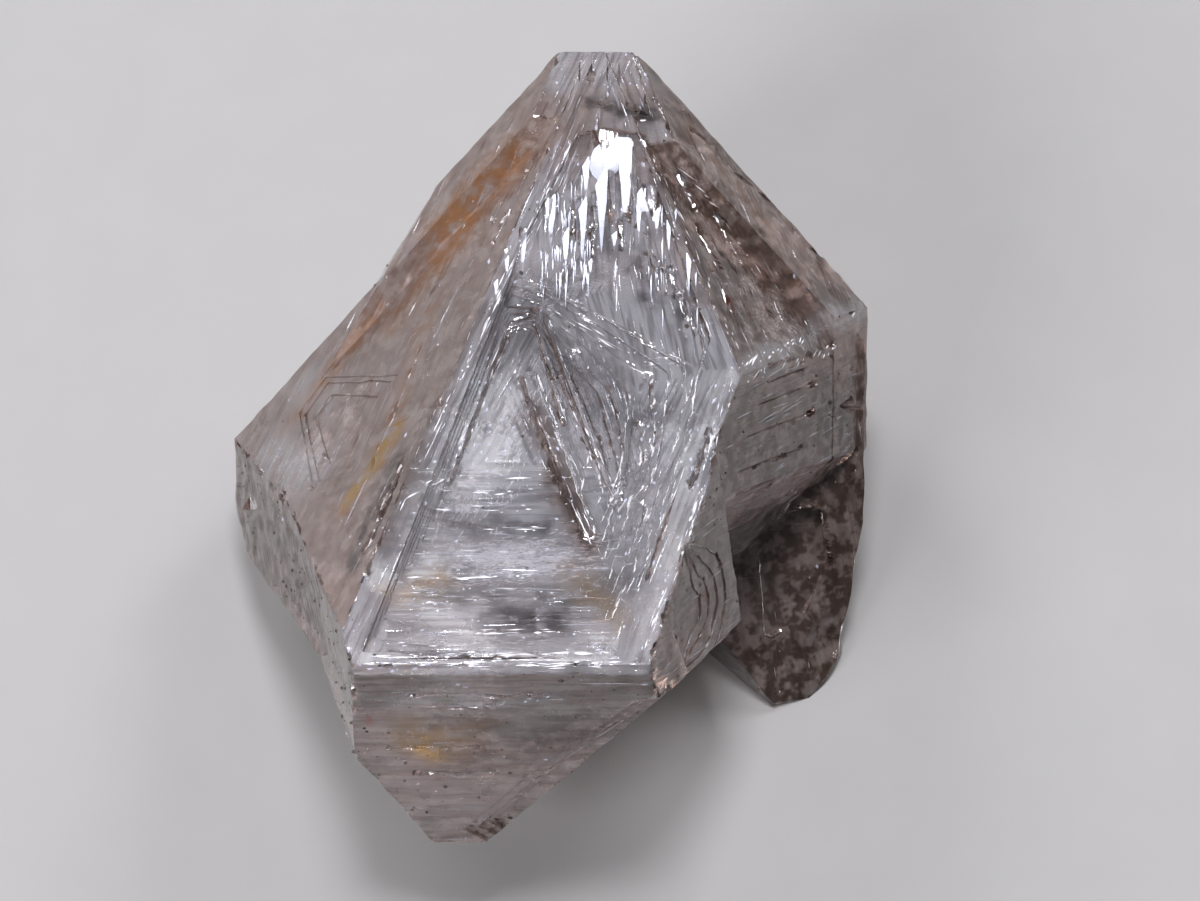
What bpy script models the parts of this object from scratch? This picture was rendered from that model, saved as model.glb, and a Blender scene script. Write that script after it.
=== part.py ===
# Skeletal quartz crystal, grown as one piece.
# It rests on one lower rhombohedral face, so the big hollow face on top lies level.
# Everything is modelled in millimetres (x right, y back, z up) and turned into metres at the end.
import math
import random
from itertools import combinations

import bmesh
import bpy
from mathutils import Matrix, Vector

# ---- driving dimensions, mm and degrees ----
metresPerMm = 0.001
facePolar = 51.79          # angle between the long axis and the normal of a pyramid face
axisHeight = 10.3          # height of the crystal's centre above the ground
windowHeight = 26.0        # height of the level hopper face
windowDrop = 1.8           # how far the hopper goes down in the middle
# how far in each ledge of the hopper lies, at the front and at the back, where they fan out
ledgeShares = (0, 0.07, 0.2, 0.33, 0.42, 0.54, 0.66, 0.79, 0.9, 1)
crestShares = (0, 0.05, 0.1, 0.24, 0.4, 0.58, 0.7, 0.8, 0.91, 1)
pointUnderside = 8.2       # height of the overhanging front point above the ground
colour = (0.30, 0.265, 0.28, 1)
roughness = 0.22

centre = Vector((0, 0, axisHeight))
axisAlong = Vector((0, math.sin(math.radians(facePolar)), math.cos(math.radians(facePolar))))
axisFront = Vector((0, -axisAlong.z, axisAlong.y))
chance = random.Random(11)


# ---- faces by crystal direction ----
def around(azimuth):
    turn = math.radians(azimuth)
    return Vector((math.sin(turn), 0, 0)) + axisFront * math.cos(turn)


def faceNormal(kind, azimuth):
    polar = math.radians(facePolar)
    lean = {"upper": math.cos(polar), "prism": 0, "lower": -math.cos(polar)}[kind]
    reach = 1 if kind == "prism" else math.sin(polar)
    return around(azimuth) * reach + axisAlong * lean


def face(kind, azimuth, distance):
    normal = faceNormal(kind, azimuth)
    return normal, distance + normal.dot(centre)


def faceAt(kind, azimuth, point):
    normal = faceNormal(kind, azimuth)
    return normal, normal.dot(Vector(point))


def leaning(normal, point):
    normal = Vector(normal).normalized()
    return normal, normal.dot(Vector(point))


def through(a, b, c, inside=(0, -14, 16)):
    a, b, c = Vector(a), Vector(b), Vector(c)
    normal = (b - a).cross(c - a).normalized()
    if normal.dot(Vector(inside) - a) > 0:
        normal.negate()
    return normal, normal.dot(a)


def level(height):
    return Vector((0, 0, 1)), height


# ---- solids ----
def hullOf(name, points):
    mesh = bmesh.new()
    for point in points:
        mesh.verts.new(point)
    made = bmesh.ops.convex_hull(mesh, input=mesh.verts)
    spare = [item for item in made["geom_interior"] if isinstance(item, bmesh.types.BMVert)]
    bmesh.ops.delete(mesh, geom=spare, context="VERTS")
    bmesh.ops.recalc_face_normals(mesh, faces=mesh.faces)
    return placed(name, mesh)


def placed(name, mesh):
    bmesh.ops.triangulate(mesh, faces=mesh.faces)
    data = bpy.data.meshes.new(name)
    mesh.to_mesh(data)
    mesh.free()
    item = bpy.data.objects.new(name, data)
    bpy.context.scene.collection.objects.link(item)
    return item


def grown(name, faces):
    """The block inside all of these faces, one polygon for each face that shows."""
    corners = []
    for first, second, third in combinations(faces, 3):
        system = Matrix((first[0], second[0], third[0]))
        if abs(system.determinant()) < 1e-5:
            continue
        corner = system.inverted() @ Vector((first[1], second[1], third[1]))
        inside = all(normal.dot(corner) < reach + 1e-4 for normal, reach in faces)
        if inside and all((corner - other).length > 1e-3 for other in corners):
            corners.append(corner)
    mesh = bmesh.new()
    verts = [mesh.verts.new(corner) for corner in corners]
    for normal, reach in faces:
        rim = [vert for vert in verts if abs(normal.dot(vert.co) - reach) < 2e-4]
        if len(rim) < 3:
            continue
        middle = sum((vert.co for vert in rim), Vector()) / len(rim)
        first = (rim[0].co - middle).normalized()
        second = normal.cross(first)
        rays = {vert: vert.co - middle for vert in rim}
        bearing = {vert: math.atan2(ray.dot(second), ray.dot(first)) for vert, ray in rays.items()}
        mesh.faces.new(sorted(rim, key=bearing.get))
    return placed(name, mesh)


def slab(name, outline, normal, above, below):
    """An outline lying on a face, made solid from above the face to below it."""
    mesh = bmesh.new()
    normal = Vector(normal)
    top = [mesh.verts.new(Vector(point) + normal * above) for point in outline]
    bottom = [mesh.verts.new(Vector(point) - normal * below) for point in outline]
    mesh.faces.new(top)
    mesh.faces.new(list(reversed(bottom)))
    for i in range(len(top)):
        j = (i + 1) % len(top)
        mesh.faces.new((top[i], bottom[i], bottom[j], top[j]))
    bmesh.ops.recalc_face_normals(mesh, faces=mesh.faces)
    return placed(name, mesh)


def needle(name, start, end, normal, width, depth, margin=0.3):
    """A spindle lying along a face. A positive depth sinks it in, a negative one lifts it out."""
    start, end, normal = Vector(start), Vector(end), Vector(normal)
    middle = (start + end) / 2
    side = (end - start).cross(normal).normalized() * width / 2
    lift = normal * margin * (1 if depth > 0 else -1)
    points = [start + lift, end + lift, middle + side + lift, middle - side + lift]
    points += [middle - normal * depth, start.lerp(end, 0.2) - normal * depth * 0.7]
    return hullOf(name, points)


def combine(body, tools, operation):
    """Joins or cuts all the tools at once, then throws the tools away."""
    group = bpy.data.collections.new("tools")
    bpy.context.scene.collection.children.link(group)
    for tool in tools:
        bpy.context.scene.collection.objects.unlink(tool)
        group.objects.link(tool)
        tool.hide_render = True
        tool.display_type = "WIRE"
    modifier = body.modifiers.new(operation.title(), "BOOLEAN")
    modifier.operand_type = "COLLECTION"
    modifier.collection = group
    modifier.operation = operation
    modifier.solver = "EXACT"
    bpy.context.view_layer.update()
    graph = bpy.context.evaluated_depsgraph_get()
    data = bpy.data.meshes.new_from_object(body.evaluated_get(graph))
    body.modifiers.clear()
    mesh = bmesh.new()
    mesh.from_mesh(data)
    bmesh.ops.triangulate(mesh, faces=mesh.faces)
    bmesh.ops.dissolve_degenerate(mesh, edges=mesh.edges, dist=0.0005)
    mesh.to_mesh(data)
    mesh.free()
    body.data = data
    for tool in tools:
        bpy.data.objects.remove(tool, do_unlink=True)
    bpy.data.collections.remove(group)


# ---- outlines ----
class FaceSheet:
    """Drawing coordinates on one crystal face: s runs along it, t up it."""

    def __init__(self, kind, azimuth, distance):
        turn = math.radians(azimuth)
        self.normal = faceNormal(kind, azimuth)
        self.s = Vector((math.cos(turn), 0, 0)) - axisFront * math.sin(turn)
        self.t = self.s.cross(self.normal)
        if self.t.dot(axisAlong) < 0:
            self.t.negate()
        self.foot = centre + self.normal * distance

    def at(self, s, t):
        return self.foot + self.s * s + self.t * t

    def terrace(self, name, outline, above, below):
        return slab(name, [self.at(*point) for point in outline], self.normal, above, below)

    def furrow(self, name, start, end, width, depth, margin=0.3):
        return needle(name, self.at(*start), self.at(*end), self.normal, width, depth, margin)


def between(outer, inner, *shares):
    """An outline part of the way from one to another. The last share holds for all the corners left."""
    shares = list(shares) + [shares[-1]] * (len(outer) - len(shares))
    return [(a[0] + (b[0] - a[0]) * k, a[1] + (b[1] - a[1]) * k) for a, b, k in zip(outer, inner, shares)]


def jogged(outline, sides, reach):
    """The outline with small square jogs along some of its sides, as broken growth steps have."""
    points = []
    for i, start in enumerate(outline):
        points.append(start)
        if i not in sides:
            continue
        end = outline[(i + 1) % len(outline)]
        along = Vector((end[0] - start[0], end[1] - start[1]))
        across = Vector((along.y, -along.x)).normalized()
        for k in range(sides[i]):
            share = (k + chance.uniform(0.25, 0.75)) / sides[i]
            jog = chance.uniform(-reach, reach)
            for turn in (-0.04, 0.04):
                spot = Vector(start) + along * (share + turn)
                shift = jog if (turn > 0) == (k % 2 == 0) else 0
                points.append(tuple(spot + across * shift))
    return points


def onWindow(points, height=windowHeight):
    return [(x, y, height) for x, y in points]


# ---- the grown body ----
leftTip = (-25.1, -7.2, 4.6)         # lowest corner of the left shoulder
leftFoot = (-18.6, -19.5, 14.1)      # where the left shoulder meets the front point
windowCorner = (-16.2, -25.5, 26)    # front left corner of the window
cheek = (-15.9, -29.5, 17.5)         # widest place of the front point, left
noseLeft = (-11.3, -31.6, 8.9)
noseRight = (-7.0, -31.5, 9.0)
plateTop = (8.4, -14.7, 21.5)        # the shell plate at the right of the front point
plateEdge = (9.3, -18.4, 16.3)
plateLow = (8.0, -21.2, 17.6)
plateFront = (3.7, -28.1, 22.9)

shoulders = [
    level(windowHeight - 0.1), face("upper", 60, 15.7), face("upper", 120, 17.0),
    face("upper", 180, 15.2), face("upper", 240, 16.0), face("upper", 300, 16.0),
    face("prism", 60, 16.0), face("prism", 120, 15.95), face("prism", 180, 14.0),
    face("prism", 240, 22.0), face("prism", 291, 23.7), face("lower", 60, 14.2),
    face("lower", 180, axisHeight + 1), face("lower", 240, 21.5),
    through(leftTip, leftFoot, (-11, -8, 0)), leaning((0, -0.945, -0.327), (0, -25, 26)),
]
rightLedge = [
    level(windowHeight - 0.35), face("upper", 60, 17.05), face("upper", 120, 17.05),
    face("upper", 180, 15.13), face("prism", 60, 16.05), face("prism", 120, 16.0),
    face("prism", 0, 4.5), face("lower", 60, 14.25), face("prism", 180, 8),
    leaning((-1, 0, 0), (-1, 0, 0)), leaning((0, 0, -1), (0, 0, 5)),
]
leftLedge = [
    level(windowHeight - 0.2), face("upper", 240, 17.3), face("upper", 300, 17.3),
    face("upper", 180, 15.25), face("prism", 0, 3.4), face("prism", 180, 8),
    leaning((-0.85, 0.409, 0.321), (-11.2, 12.3, 20.0)), leaning((0.9, 0.2, 0.4), (2.6, 18, 25.8)),
    leaning((0, 0, -1), (0, 0, 9)),
]
frontPoint = [
    level(windowHeight), face("upper", 300, 16.1), faceAt("prism", 0, (0, -26.9, 26)),
    face("lower", 0, 30.25), through(windowCorner, (-18.7, -20, 14.2), cheek),
    through(cheek, noseLeft, (-15.5, -20, 6)), through(plateFront, noseRight, plateLow),
    face("prism", 65, 15.15), through(plateTop, plateEdge, (4, -3, 8)),
    face("lower", 180, axisHeight - pointUnderside), leaning((0, 1, 0), (0, -8, 0)),
]
lobe = [
    face("lower", 180, axisHeight + 1.6), face("prism", 20, 7.4), faceAt("lower", 300, (11.8, -17.7, 0)),
    leaning((0.985, -0.1, -0.14), (17.8, -8.8, 4.6)), leaning((0.8, -0.45, -0.4), (16.1, -15.6, 1.2)),
    leaning((0.25, -0.95, -0.2), (13.6, -17.55, 0.3)),
    face("prism", 120, 18.2), face("prism", 180, 11.0), face("upper", 120, 15.0),
    level(15.5), leaning((-1, 0, 0), (-5, 0, 0)), leaning((1, 0, 0), (18.25, 0, 0)),
    leaning((0, 1, 0), (0, 4, 0)),
]

for item in list(bpy.data.objects):
    bpy.data.objects.remove(item, do_unlink=True)

crystal = grown("crystal", shoulders)
outgrowths = {"rightLedge": rightLedge, "leftLedge": leftLedge, "frontPoint": frontPoint, "lobe": lobe}
for name, faces in outgrowths.items():
    combine(crystal, [grown(name, faces)], "UNION")

# ---- hopper in the level face: nested ledges going down to a flat floor ----
hopperRim = [(-5.6, 2.4), (-3.4, 1.0), (6.6, -4.9), (5.8, -11.2), (1.0, -26.0), (-15.0, -26.0)]
hopperFloor = [(-6.2, -2.0), (-4.6, -1.2), (-2.0, -7.0), (0.0, -12.4), (-0.3, -13.6), (-9.9, -13.6)]
upperBasin = [
    (-1.5, 12.8), (0.4, 13.3), (2.6, 12.9), (5.3, 3.4), (7.3, -3.2), (6.2, -6.2), (-2.6, -0.4),
    (-6.6, -0.6), (-5.2, 4.2),
]
hollows = [slab("upperBasin", onWindow(upperBasin), (0, 0, 1), 2, 0.45)]
for number, (share, crest) in enumerate(zip(ledgeShares, crestShares)):
    ring = between(hopperRim, hopperFloor, crest, crest, crest, share)
    ring[0] = (between(hopperRim, hopperFloor, share)[0][0], ring[0][1])  # the left side slopes evenly
    ring = [(x + chance.uniform(-0.12, 0.12), y + chance.uniform(-0.1, 0.1)) for x, y in ring]
    ring = jogged(ring, {1: 1, 2: 1, 3: 1, 4: 4}, 0.4)
    drop = 0.35 + (windowDrop - 0.35) * number / (len(ledgeShares) - 1)
    hollows.append(slab("ledge", onWindow(ring), (0, 0, 1), 2 + 0.1 * number, drop))

# long growth lines beside the left ridge, and the dark crack at its foot
windowUp = Vector((0, 0, 1))
ridgeTop, ridgeLow = Vector((-1.3, 13.6, 26)), Vector((-16.0, -24.6, 26))
for inset, first, last, width in ((0.7, 0.12, 0.62, 0.5), (1.2, 0.3, 0.74, 0.7), (1.5, 0.04, 0.32, 0.5)):
    shift = Vector((inset, -inset * 0.4, 0))
    ends = ridgeTop.lerp(ridgeLow, first) + shift, ridgeTop.lerp(ridgeLow, last) + shift
    hollows.append(needle("ridgeLine", *ends, windowUp, width, 0.16))
crackEnds = (-12.6, -10.2, 25.8), (-16.2, -21.3, 25.6)
hollows.append(needle("crack", *crackEnds, (-0.5, 0.1, 0.86), 1.1, 1.7, 0.6))

# growth lines on the raised right rim, and the double line of the front rim
rimTop, rimLow = Vector((9.0, -6.6, 26)), Vector((3.0, -25.6, 26))
for inset, first, last in ((0.8, 0.05, 0.6), (1.7, 0.3, 0.95)):
    shift = Vector((-inset, -inset * 0.3, 0))
    hollows.append(needle("rimLine", rimTop.lerp(rimLow, first) + shift, rimTop.lerp(rimLow, last) + shift,
                          windowUp, 0.6, 0.18))
hollows.append(needle("frontLine", (-14.8, -26.45, 26), (1.8, -26.45, 26), windowUp, 0.3, 0.35))

# hollows and upright stripes in the blunt summit
hollows.append(needle("summitPit", (-0.9, 15.5, 25.6), (1.3, 15.0, 25.6), windowUp, 0.8, 1.0, 0.6))
hollows.append(needle("summitPit", (1.6, 15.2, 25.6), (3.6, 14.1, 25.6), windowUp, 0.7, 1.1, 0.6))
for x in (-1.4, -0.6, 0.5, 1.3):
    hollows.append(needle("summitLine", (x, 19.2, 25.9), (x, 15.8, 25.9), windowUp, 0.3, 0.3, 0.5))

# ---- small second hopper on the upper left face ----
leftSheet = FaceSheet("upper", 300, 16.0)
leftOuter = [(-6.3, -8.9), (2.6, -7.2), (5.0, -14.6), (1.3, -16.6), (-6.6, -12.0)]
leftInner = [(-4.6, -9.9), (1.4, -9.0), (2.8, -13.6), (0.9, -14.6), (-4.6, -11.8)]
for number, share in enumerate((0, 0.3, 1)):
    ring = jogged(between(leftOuter, leftInner, share), {0: 1, 2: 1}, 0.25)
    hollows.append(leftSheet.terrace("leftHopper", ring, 1.5 + 0.2 * number, 0.1 + 0.12 * number))
for s, first, last in ((3.6, 13.0, -1.0), (5.2, 4.0, -12.0), (6.8, -2.0, -17.0), (1.8, 9.0, 1.0)):
    hollows.append(leftSheet.furrow("leftLine", (s * 0.3, first), (s + 1.2, last), 0.6, 0.16))

# ---- prism band under the right rim: grooves square to the long axis ----
bandSheet = FaceSheet("prism", 60, 16.0)
bandLines = ((4.2, -7.6, 5.2, 0.5), (2.9, -9.4, 7.2, 0.8), (1.0, -11.6, 8.2, 0.9), (-1.2, -12.8, 6.8, 0.8))
for t, first, last, width in bandLines:
    hollows.append(bandSheet.furrow("bandLine", (first, t - 0.3), (last, t + 0.2), width, 0.16))
hollows.append(bandSheet.furrow("bandPit", (4.6, 1.0), (8.9, 0.2), 1.8, 1.0, 0.8))

# ---- shell plate: thin terraces curving round its free edge ----
plateSheet = FaceSheet("prism", 65, 15.15)
for number in range(4):
    reach = 5.4 - 1.15 * number
    bends = [turn / 10 for turn in range(-13, 14, 3)]
    ring = [(-18.2 + reach * math.cos(bend), -9.4 + reach * 0.78 * math.sin(bend)) for bend in bends]
    ring += [(-19.5 + 0.2 * number, -4.5 - 0.2 * number), (-22.0 + 0.5 * number, -9.5)]
    ring.append((-19.0, -13.2 + 0.3 * number))
    hollows.append(plateSheet.terrace("plateStep", ring, 1 + 0.2 * number, 0.1 + 0.1 * number))

# ---- front point: cross steps and thin plate edges beside its right side ----
pointSheet = FaceSheet("lower", 0, 30.25)
for t, first, last in ((6.4, -15.6, 2.6), (5.2, -14.0, -1.0), (0.9, -15.2, -4.0), (-1.8, -13.4, -3.0)):
    hollows.append(pointSheet.furrow("pointLine", (first, t), (last, t), 0.6, 0.18))
for number, (width, drop) in enumerate(((2.4, 0.25), (1.5, 0.3), (0.7, 0.35))):
    ring = [(5.0 + number, 6.4), (4.6 - width, 5.6), (-1.9 - width, -1.6), (-6.6 - width, -8.0)]
    ring += [(-5.5 + number, -11.0), (0.5 + number, -3.0)]
    hollows.append(pointSheet.terrace("plateEdge", ring, 1 + 0.2 * number, drop * (number + 1)))

# ---- upper right face: furrows beside the ledge, chips at its edge ----
rightSheet = FaceSheet("upper", 60, 17.05)
for s, t, size in ((4.4, 7.0, 1.1), (5.6, 5.4, 0.9), (7.6, 0.4, 1.0), (2.4, 11.0, 0.8)):
    hollows.append(rightSheet.furrow("chip", (s - size, t + size), (s + size, t - size), size, 0.6, 0.6))
innerSheet = FaceSheet("upper", 60, 15.7)
for s, first, last in ((-0.6, 12.0, 4.0), (0.6, 9.0, -2.0), (-2.6, 7.0, -1.0), (-4.4, 3.0, -4.4)):
    hollows.append(innerSheet.furrow("rightLine", (s, first), (s - 1.4, last), 0.7, 0.2))

# ---- lobe: one shallow step in its front ----
lobeSheet = FaceSheet("prism", 20, 7.4)
lobeStep = [(8.6, -6.9), (13.6, -6.5), (14.2, -10.4), (12.0, -14.4), (9.6, -15.2), (9.2, -10.8)]
hollows.append(lobeSheet.terrace("lobeStep", lobeStep, 3, 0.2))

# ---- far side: a shallow hopper of its own, and steps on the flanks ----
backSheet = FaceSheet("upper", 180, 15.2)
backOuter = [(-3.6, 4.6), (2.6, 5.2), (9.0, -6.4), (9.6, -13.0), (-5.6, -13.4), (-7.6, -5.0)]
backInner = [(-1.4, -0.6), (1.4, -0.4), (4.6, -6.6), (4.8, -10.0), (-2.6, -10.2), (-3.6, -5.4)]
for number, share in enumerate((0, 0.3, 0.65, 1)):
    ring = jogged(between(backOuter, backInner, share), {1: 2, 3: 3, 5: 2}, 0.4)
    hollows.append(backSheet.terrace("backHopper", ring, 2 + 0.2 * number, 0.35 + 0.4 * number))
for azimuth, distance, s, t in ((240, 16.0, -2.0, -6.0), (120, 17.05, 1.0, 1.0), (240, 16.0, -5.5, -11.5)):
    flank = FaceSheet("upper", azimuth, distance)
    outline = [(s - 2.6, t + 2.4), (s + 1.6, t + 3.4), (s + 3.2, t - 2.0), (s - 1.0, t - 3.6)]
    hollows.append(flank.terrace("flankStep", outline, 1.5, 0.4))
combine(crystal, hollows, "DIFFERENCE")

# ---- raised growth: bars on the hopper floor, pointed plates above it ----
raised = []
floorHeight = windowHeight - windowDrop
bars = (
    ((-5.0, -4.6), (-0.3, -18.4), 1.3, 0.6), ((-4.3, -0.6), (-2.2, -9.4), 0.4, 0.3),
    ((-3.9, -0.3), (0.3, -12.6), 0.4, 0.75), ((-6.3, -1.8), (-10.1, -13.8), 0.4, 0.95),
    ((-2.4, -5.0), (1.4, -15.6), 0.5, 0.45), ((2.2, -6.4), (1.2, -15.4), 0.4, 0.85),
)
for start, end, width, height in bars:
    start, end = Vector((*start, floorHeight)), Vector((*end, floorHeight))
    side = (end - start).cross(windowUp).normalized() * width / 2
    points = [spot + side * k - windowUp * 0.4 for spot in (start, end) for k in (-1.2, 1.2)]
    points += [start.lerp(end, k) + side * j + windowUp * height for k in (0.04, 0.9) for j in (-0.6, 0.6)]
    raised.append(hullOf("bar", points))


def wedge(x, top, bottom, width, height):
    """A plate that is blunt above and runs out to a point below."""
    base = windowHeight - 0.45
    ridge = top - (top - bottom) * 0.12
    lean = (x + 0.5) * 0.03 * (top - bottom)
    points = [(x - width / 2, top, base - 0.4), (x + width / 2, top, base - 0.4)]
    points += [(x + lean, bottom, base - 0.2), (x - width * 0.3, ridge, base + height)]
    points.append((x + width * 0.36, ridge - 0.3, base + height * 0.8))
    return hullOf("wedge", points)


wedges = [
    (0.4, 13.4, 9.2, 2.3, 0.9), (2.0, 12.6, 4.2, 0.9, 0.8), (0.75, 10.4, 4.2, 0.7, 0.7),
    (-0.3, 8.6, 3.8, 0.8, 0.7), (-1.5, 8.0, 3.2, 0.7, 0.7), (3.3, 9.2, 5.2, 1.6, 0.75),
    (-3.4, 8.4, 4.0, 0.7, 0.6), (-5.2, 5.8, 2.0, 0.6, 0.55), (-6.2, 4.2, 1.4, 0.5, 0.5),
    (-6.9, 1.5, -0.4, 0.45, 0.45),
]
for column in range(9):
    x = -3.0 + column * 0.62
    top = chance.uniform(5.2, 8.2)
    bottom = top - chance.uniform(1.6, 3.6)
    wedges.append((x, top, bottom, chance.uniform(0.35, 0.6), chance.uniform(0.35, 0.6)))
for column in range(7):
    x = 3.0 + column * 0.55
    top = 5.0 - column * 0.9 + chance.uniform(-0.6, 0.6)
    bottom = top - chance.uniform(3.4, 5.2)
    wedges.append((x, top, bottom, chance.uniform(0.4, 0.7), chance.uniform(0.35, 0.6)))
raised += [wedge(*numbers) for numbers in wedges]
combine(crystal, raised, "UNION")

# ---- the flat place it rests on ----
wide, deep = 60, 30
corners = [(-wide, -wide, 0), (wide, -wide, 0), (wide, wide, 0), (-wide, wide, 0)]
ground = slab("ground", corners, windowUp, 0, deep)
combine(crystal, [ground], "DIFFERENCE")

# ---- finish: one body in metres, standing over the middle of its footprint ----
mesh = bmesh.new()
mesh.from_mesh(crystal.data)
bmesh.ops.dissolve_limit(mesh, angle_limit=math.radians(0.2), verts=mesh.verts, edges=mesh.edges)
bmesh.ops.triangulate(mesh, faces=mesh.faces)
low = [min(vert.co[axis] for vert in mesh.verts) for axis in range(3)]
high = [max(vert.co[axis] for vert in mesh.verts) for axis in range(3)]
middle = Vector(((low[0] + high[0]) / 2, (low[1] + high[1]) / 2, low[2]))
bmesh.ops.translate(mesh, verts=mesh.verts, vec=-middle)
bmesh.ops.scale(mesh, verts=mesh.verts, vec=(metresPerMm,) * 3)
mesh.to_mesh(crystal.data)
mesh.free()
print("middle of the footprint, mm:", [round(value, 3) for value in middle])

quartz = bpy.data.materials.new("quartz")
quartz.use_nodes = True
shader = quartz.node_tree.nodes["Principled BSDF"]
shader.inputs["Base Color"].default_value = colour
shader.inputs["Roughness"].default_value = roughness
shader.inputs["Metallic"].default_value = 0
crystal.data.materials.clear()
crystal.data.materials.append(quartz)
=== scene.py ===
import math

import bmesh
import bpy
import numpy as np
from mathutils import Matrix, Vector
from mathutils.bvhtree import BVHTree
from mathutils.kdtree import KDTree


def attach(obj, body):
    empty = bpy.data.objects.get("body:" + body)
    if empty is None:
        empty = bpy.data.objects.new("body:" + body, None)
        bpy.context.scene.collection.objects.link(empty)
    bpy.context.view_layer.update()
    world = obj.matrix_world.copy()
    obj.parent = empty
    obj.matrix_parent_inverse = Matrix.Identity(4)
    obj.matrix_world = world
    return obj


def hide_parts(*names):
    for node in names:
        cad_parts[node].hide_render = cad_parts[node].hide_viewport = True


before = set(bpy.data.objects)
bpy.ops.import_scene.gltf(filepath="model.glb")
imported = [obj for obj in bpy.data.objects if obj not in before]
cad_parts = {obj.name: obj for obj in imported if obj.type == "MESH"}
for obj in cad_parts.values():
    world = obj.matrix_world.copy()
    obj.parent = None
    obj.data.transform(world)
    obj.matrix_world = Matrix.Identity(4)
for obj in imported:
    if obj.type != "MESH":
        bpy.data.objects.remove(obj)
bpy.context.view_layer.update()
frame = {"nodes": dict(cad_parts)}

metresPerMm = 0.001
zeroPoint = (3.444, 6.097, 0)  # mm: where the x, y and z of this script start in the frame
dice = np.random.default_rng(17)
print("frame loaded:", ", ".join(frame["nodes"]))


def metres(x, y, z=0):
    return Vector((x + zeroPoint[0], y + zeroPoint[1], z + zeroPoint[2])) * metresPerMm


def linear(hexColour):
    # an sRGB hex value as linear red, green, blue, alpha
    parts = [int(hexColour[i:i + 2], 16) / 255 for i in (1, 3, 5)]
    return [p / 12.92 if p <= 0.04045 else ((p + 0.055) / 1.055) ** 2.4 for p in parts] + [1]


def node(tree, kind, settings=None, inputs=None):
    # adds one node: its settings by name, then each input's value or the socket that feeds it
    made = tree.nodes.new(kind)
    for key, value in (settings or {}).items():
        setattr(made, key, value)
    for key, value in (inputs or {}).items():
        if isinstance(value, bpy.types.Node):
            value = next(socket for socket in value.outputs if socket.enabled)
        if isinstance(value, bpy.types.NodeSocket):
            tree.links.new(value, made.inputs[key])
        else:
            made.inputs[key].default_value = value
    return made


def linked(name, data):
    made = bpy.data.objects.new(name, data)
    bpy.context.scene.collection.objects.link(made)
    return made


def latticeNoise(points, seed):
    # smooth random field from -1 to 1, one bump per unit; large primes scramble each cell's place
    cell = np.floor(points).astype(np.int64)
    local = points - cell
    fade = local * local * (3 - 2 * local)
    total = np.zeros(len(points))
    for corner in np.ndindex(2, 2, 2):
        key = (cell + corner) @ np.array((73856093, 19349663, 83492791)) + seed * 9176
        key = ((key ^ (key >> 13)) * 1274126177) & 0x7fffffff
        value = ((key ^ (key >> 15)) & 0xffff) / 32767.5 - 1
        total += value * np.prod(np.where(corner, fade, 1 - fade), axis=1)
    return total


def bumps(points, size, perMm, seed):
    # a smooth random number at each point, up to size either way, with perMm bumps to the millimetre
    return size * latticeNoise(points * perMm, seed)


def nudges(points, size, perMm, seed, apart=40):
    # a smooth random shift of each point in x, y and z, from three fields that lie apart
    shift = [latticeNoise(points * perMm + apart * axis, seed + axis) for axis in range(3)]
    return size * np.stack(shift, axis=1)


def lineDistance(points, start, end):
    # distance of each point from a straight piece of line
    start, end = np.array(start, float), np.array(end, float)
    along = end - start
    share = np.clip((points - start) @ along / max(along @ along, 1e-9), 0, 1)
    return np.linalg.norm(points - start - share[:, None] * along, axis=1)


longAxis = np.array((0, 0.786, 0.618))  # quartz's c axis, which striae run across

habits = {
    # the families of faces: the window is the hopper face, the baseRim runs across its foot, the front
    # lies under that, and other takes the rest. for each, the way it looks outwards and the way its
    # growth lines run; how brown, frosted and smoky it is, and how strongly striated; how thickly
    # growth lines lie on it beside the others, and their shortest and longest
    "window": dict(normal=(0, 0, 1), along=(0, 1, 0), warm=0.06, frostAndHighlight=0.4, smokeAndShade=0.05,
                   lined=0.7, lines=1.0, longMm=(0.6, 5)),
    "leftUpper": dict(normal=(-0.680, 0.243, 0.691), along=(-0.38, -0.90, -0.06), warm=0.95, frostAndHighlight=0.5,
                      smokeAndShade=0.05, lined=0.4, lines=0.18, longMm=(0.8, 5)),
    "rightUpper": dict(normal=(0.680, 0.243, 0.691), along=(0.36, -0.93, -0.03), warm=1.0, frostAndHighlight=0.12,
                       smokeAndShade=0.75, lined=0.7, lines=0.12, longMm=(0.8, 6)),
    # the base rim's frost is partly a painted highlight: it whitens the rim where the lamps catch its edge
    "baseRim": dict(normal=(0, -0.619, 0.786), along=(1, 0, 0), warm=0.15, frostAndHighlight=0.7, smokeAndShade=0.04,
                    lined=0.5, lines=1.2, longMm=(0.4, 2.5)),
    "front": dict(normal=(0, -0.972, 0.235), along=(1, 0, 0), warm=0.75, frostAndHighlight=1.0, smokeAndShade=0.12,
                  lined=0.7, lines=0.16, longMm=(0.5, 4)),
    "recess": dict(normal=(0.866, -0.309, 0.393), along=(0.5, 0.62, -0.61), warm=1.0, frostAndHighlight=0.25,
                   smokeAndShade=0.42, lined=0.8, lines=0.5, longMm=(0.8, 5)),
    "leftPrism": dict(normal=(-0.93, -0.22, 0.28), along=(-0.2, 0.96, 0.1), warm=1.0, frostAndHighlight=0.12,
                      smokeAndShade=0.75, lined=0.6, lines=0.15, longMm=(0.4, 2.5)),
    "other": dict(normal=None, along=None, warm=0.38, frostAndHighlight=0.3, smokeAndShade=0.06,
                  lined=0.6, lines=0.2, longMm=(0.6, 4)),
}
habitNames = list(habits)
numberOf = {name: number for number, name in enumerate(habitNames)}

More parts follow.
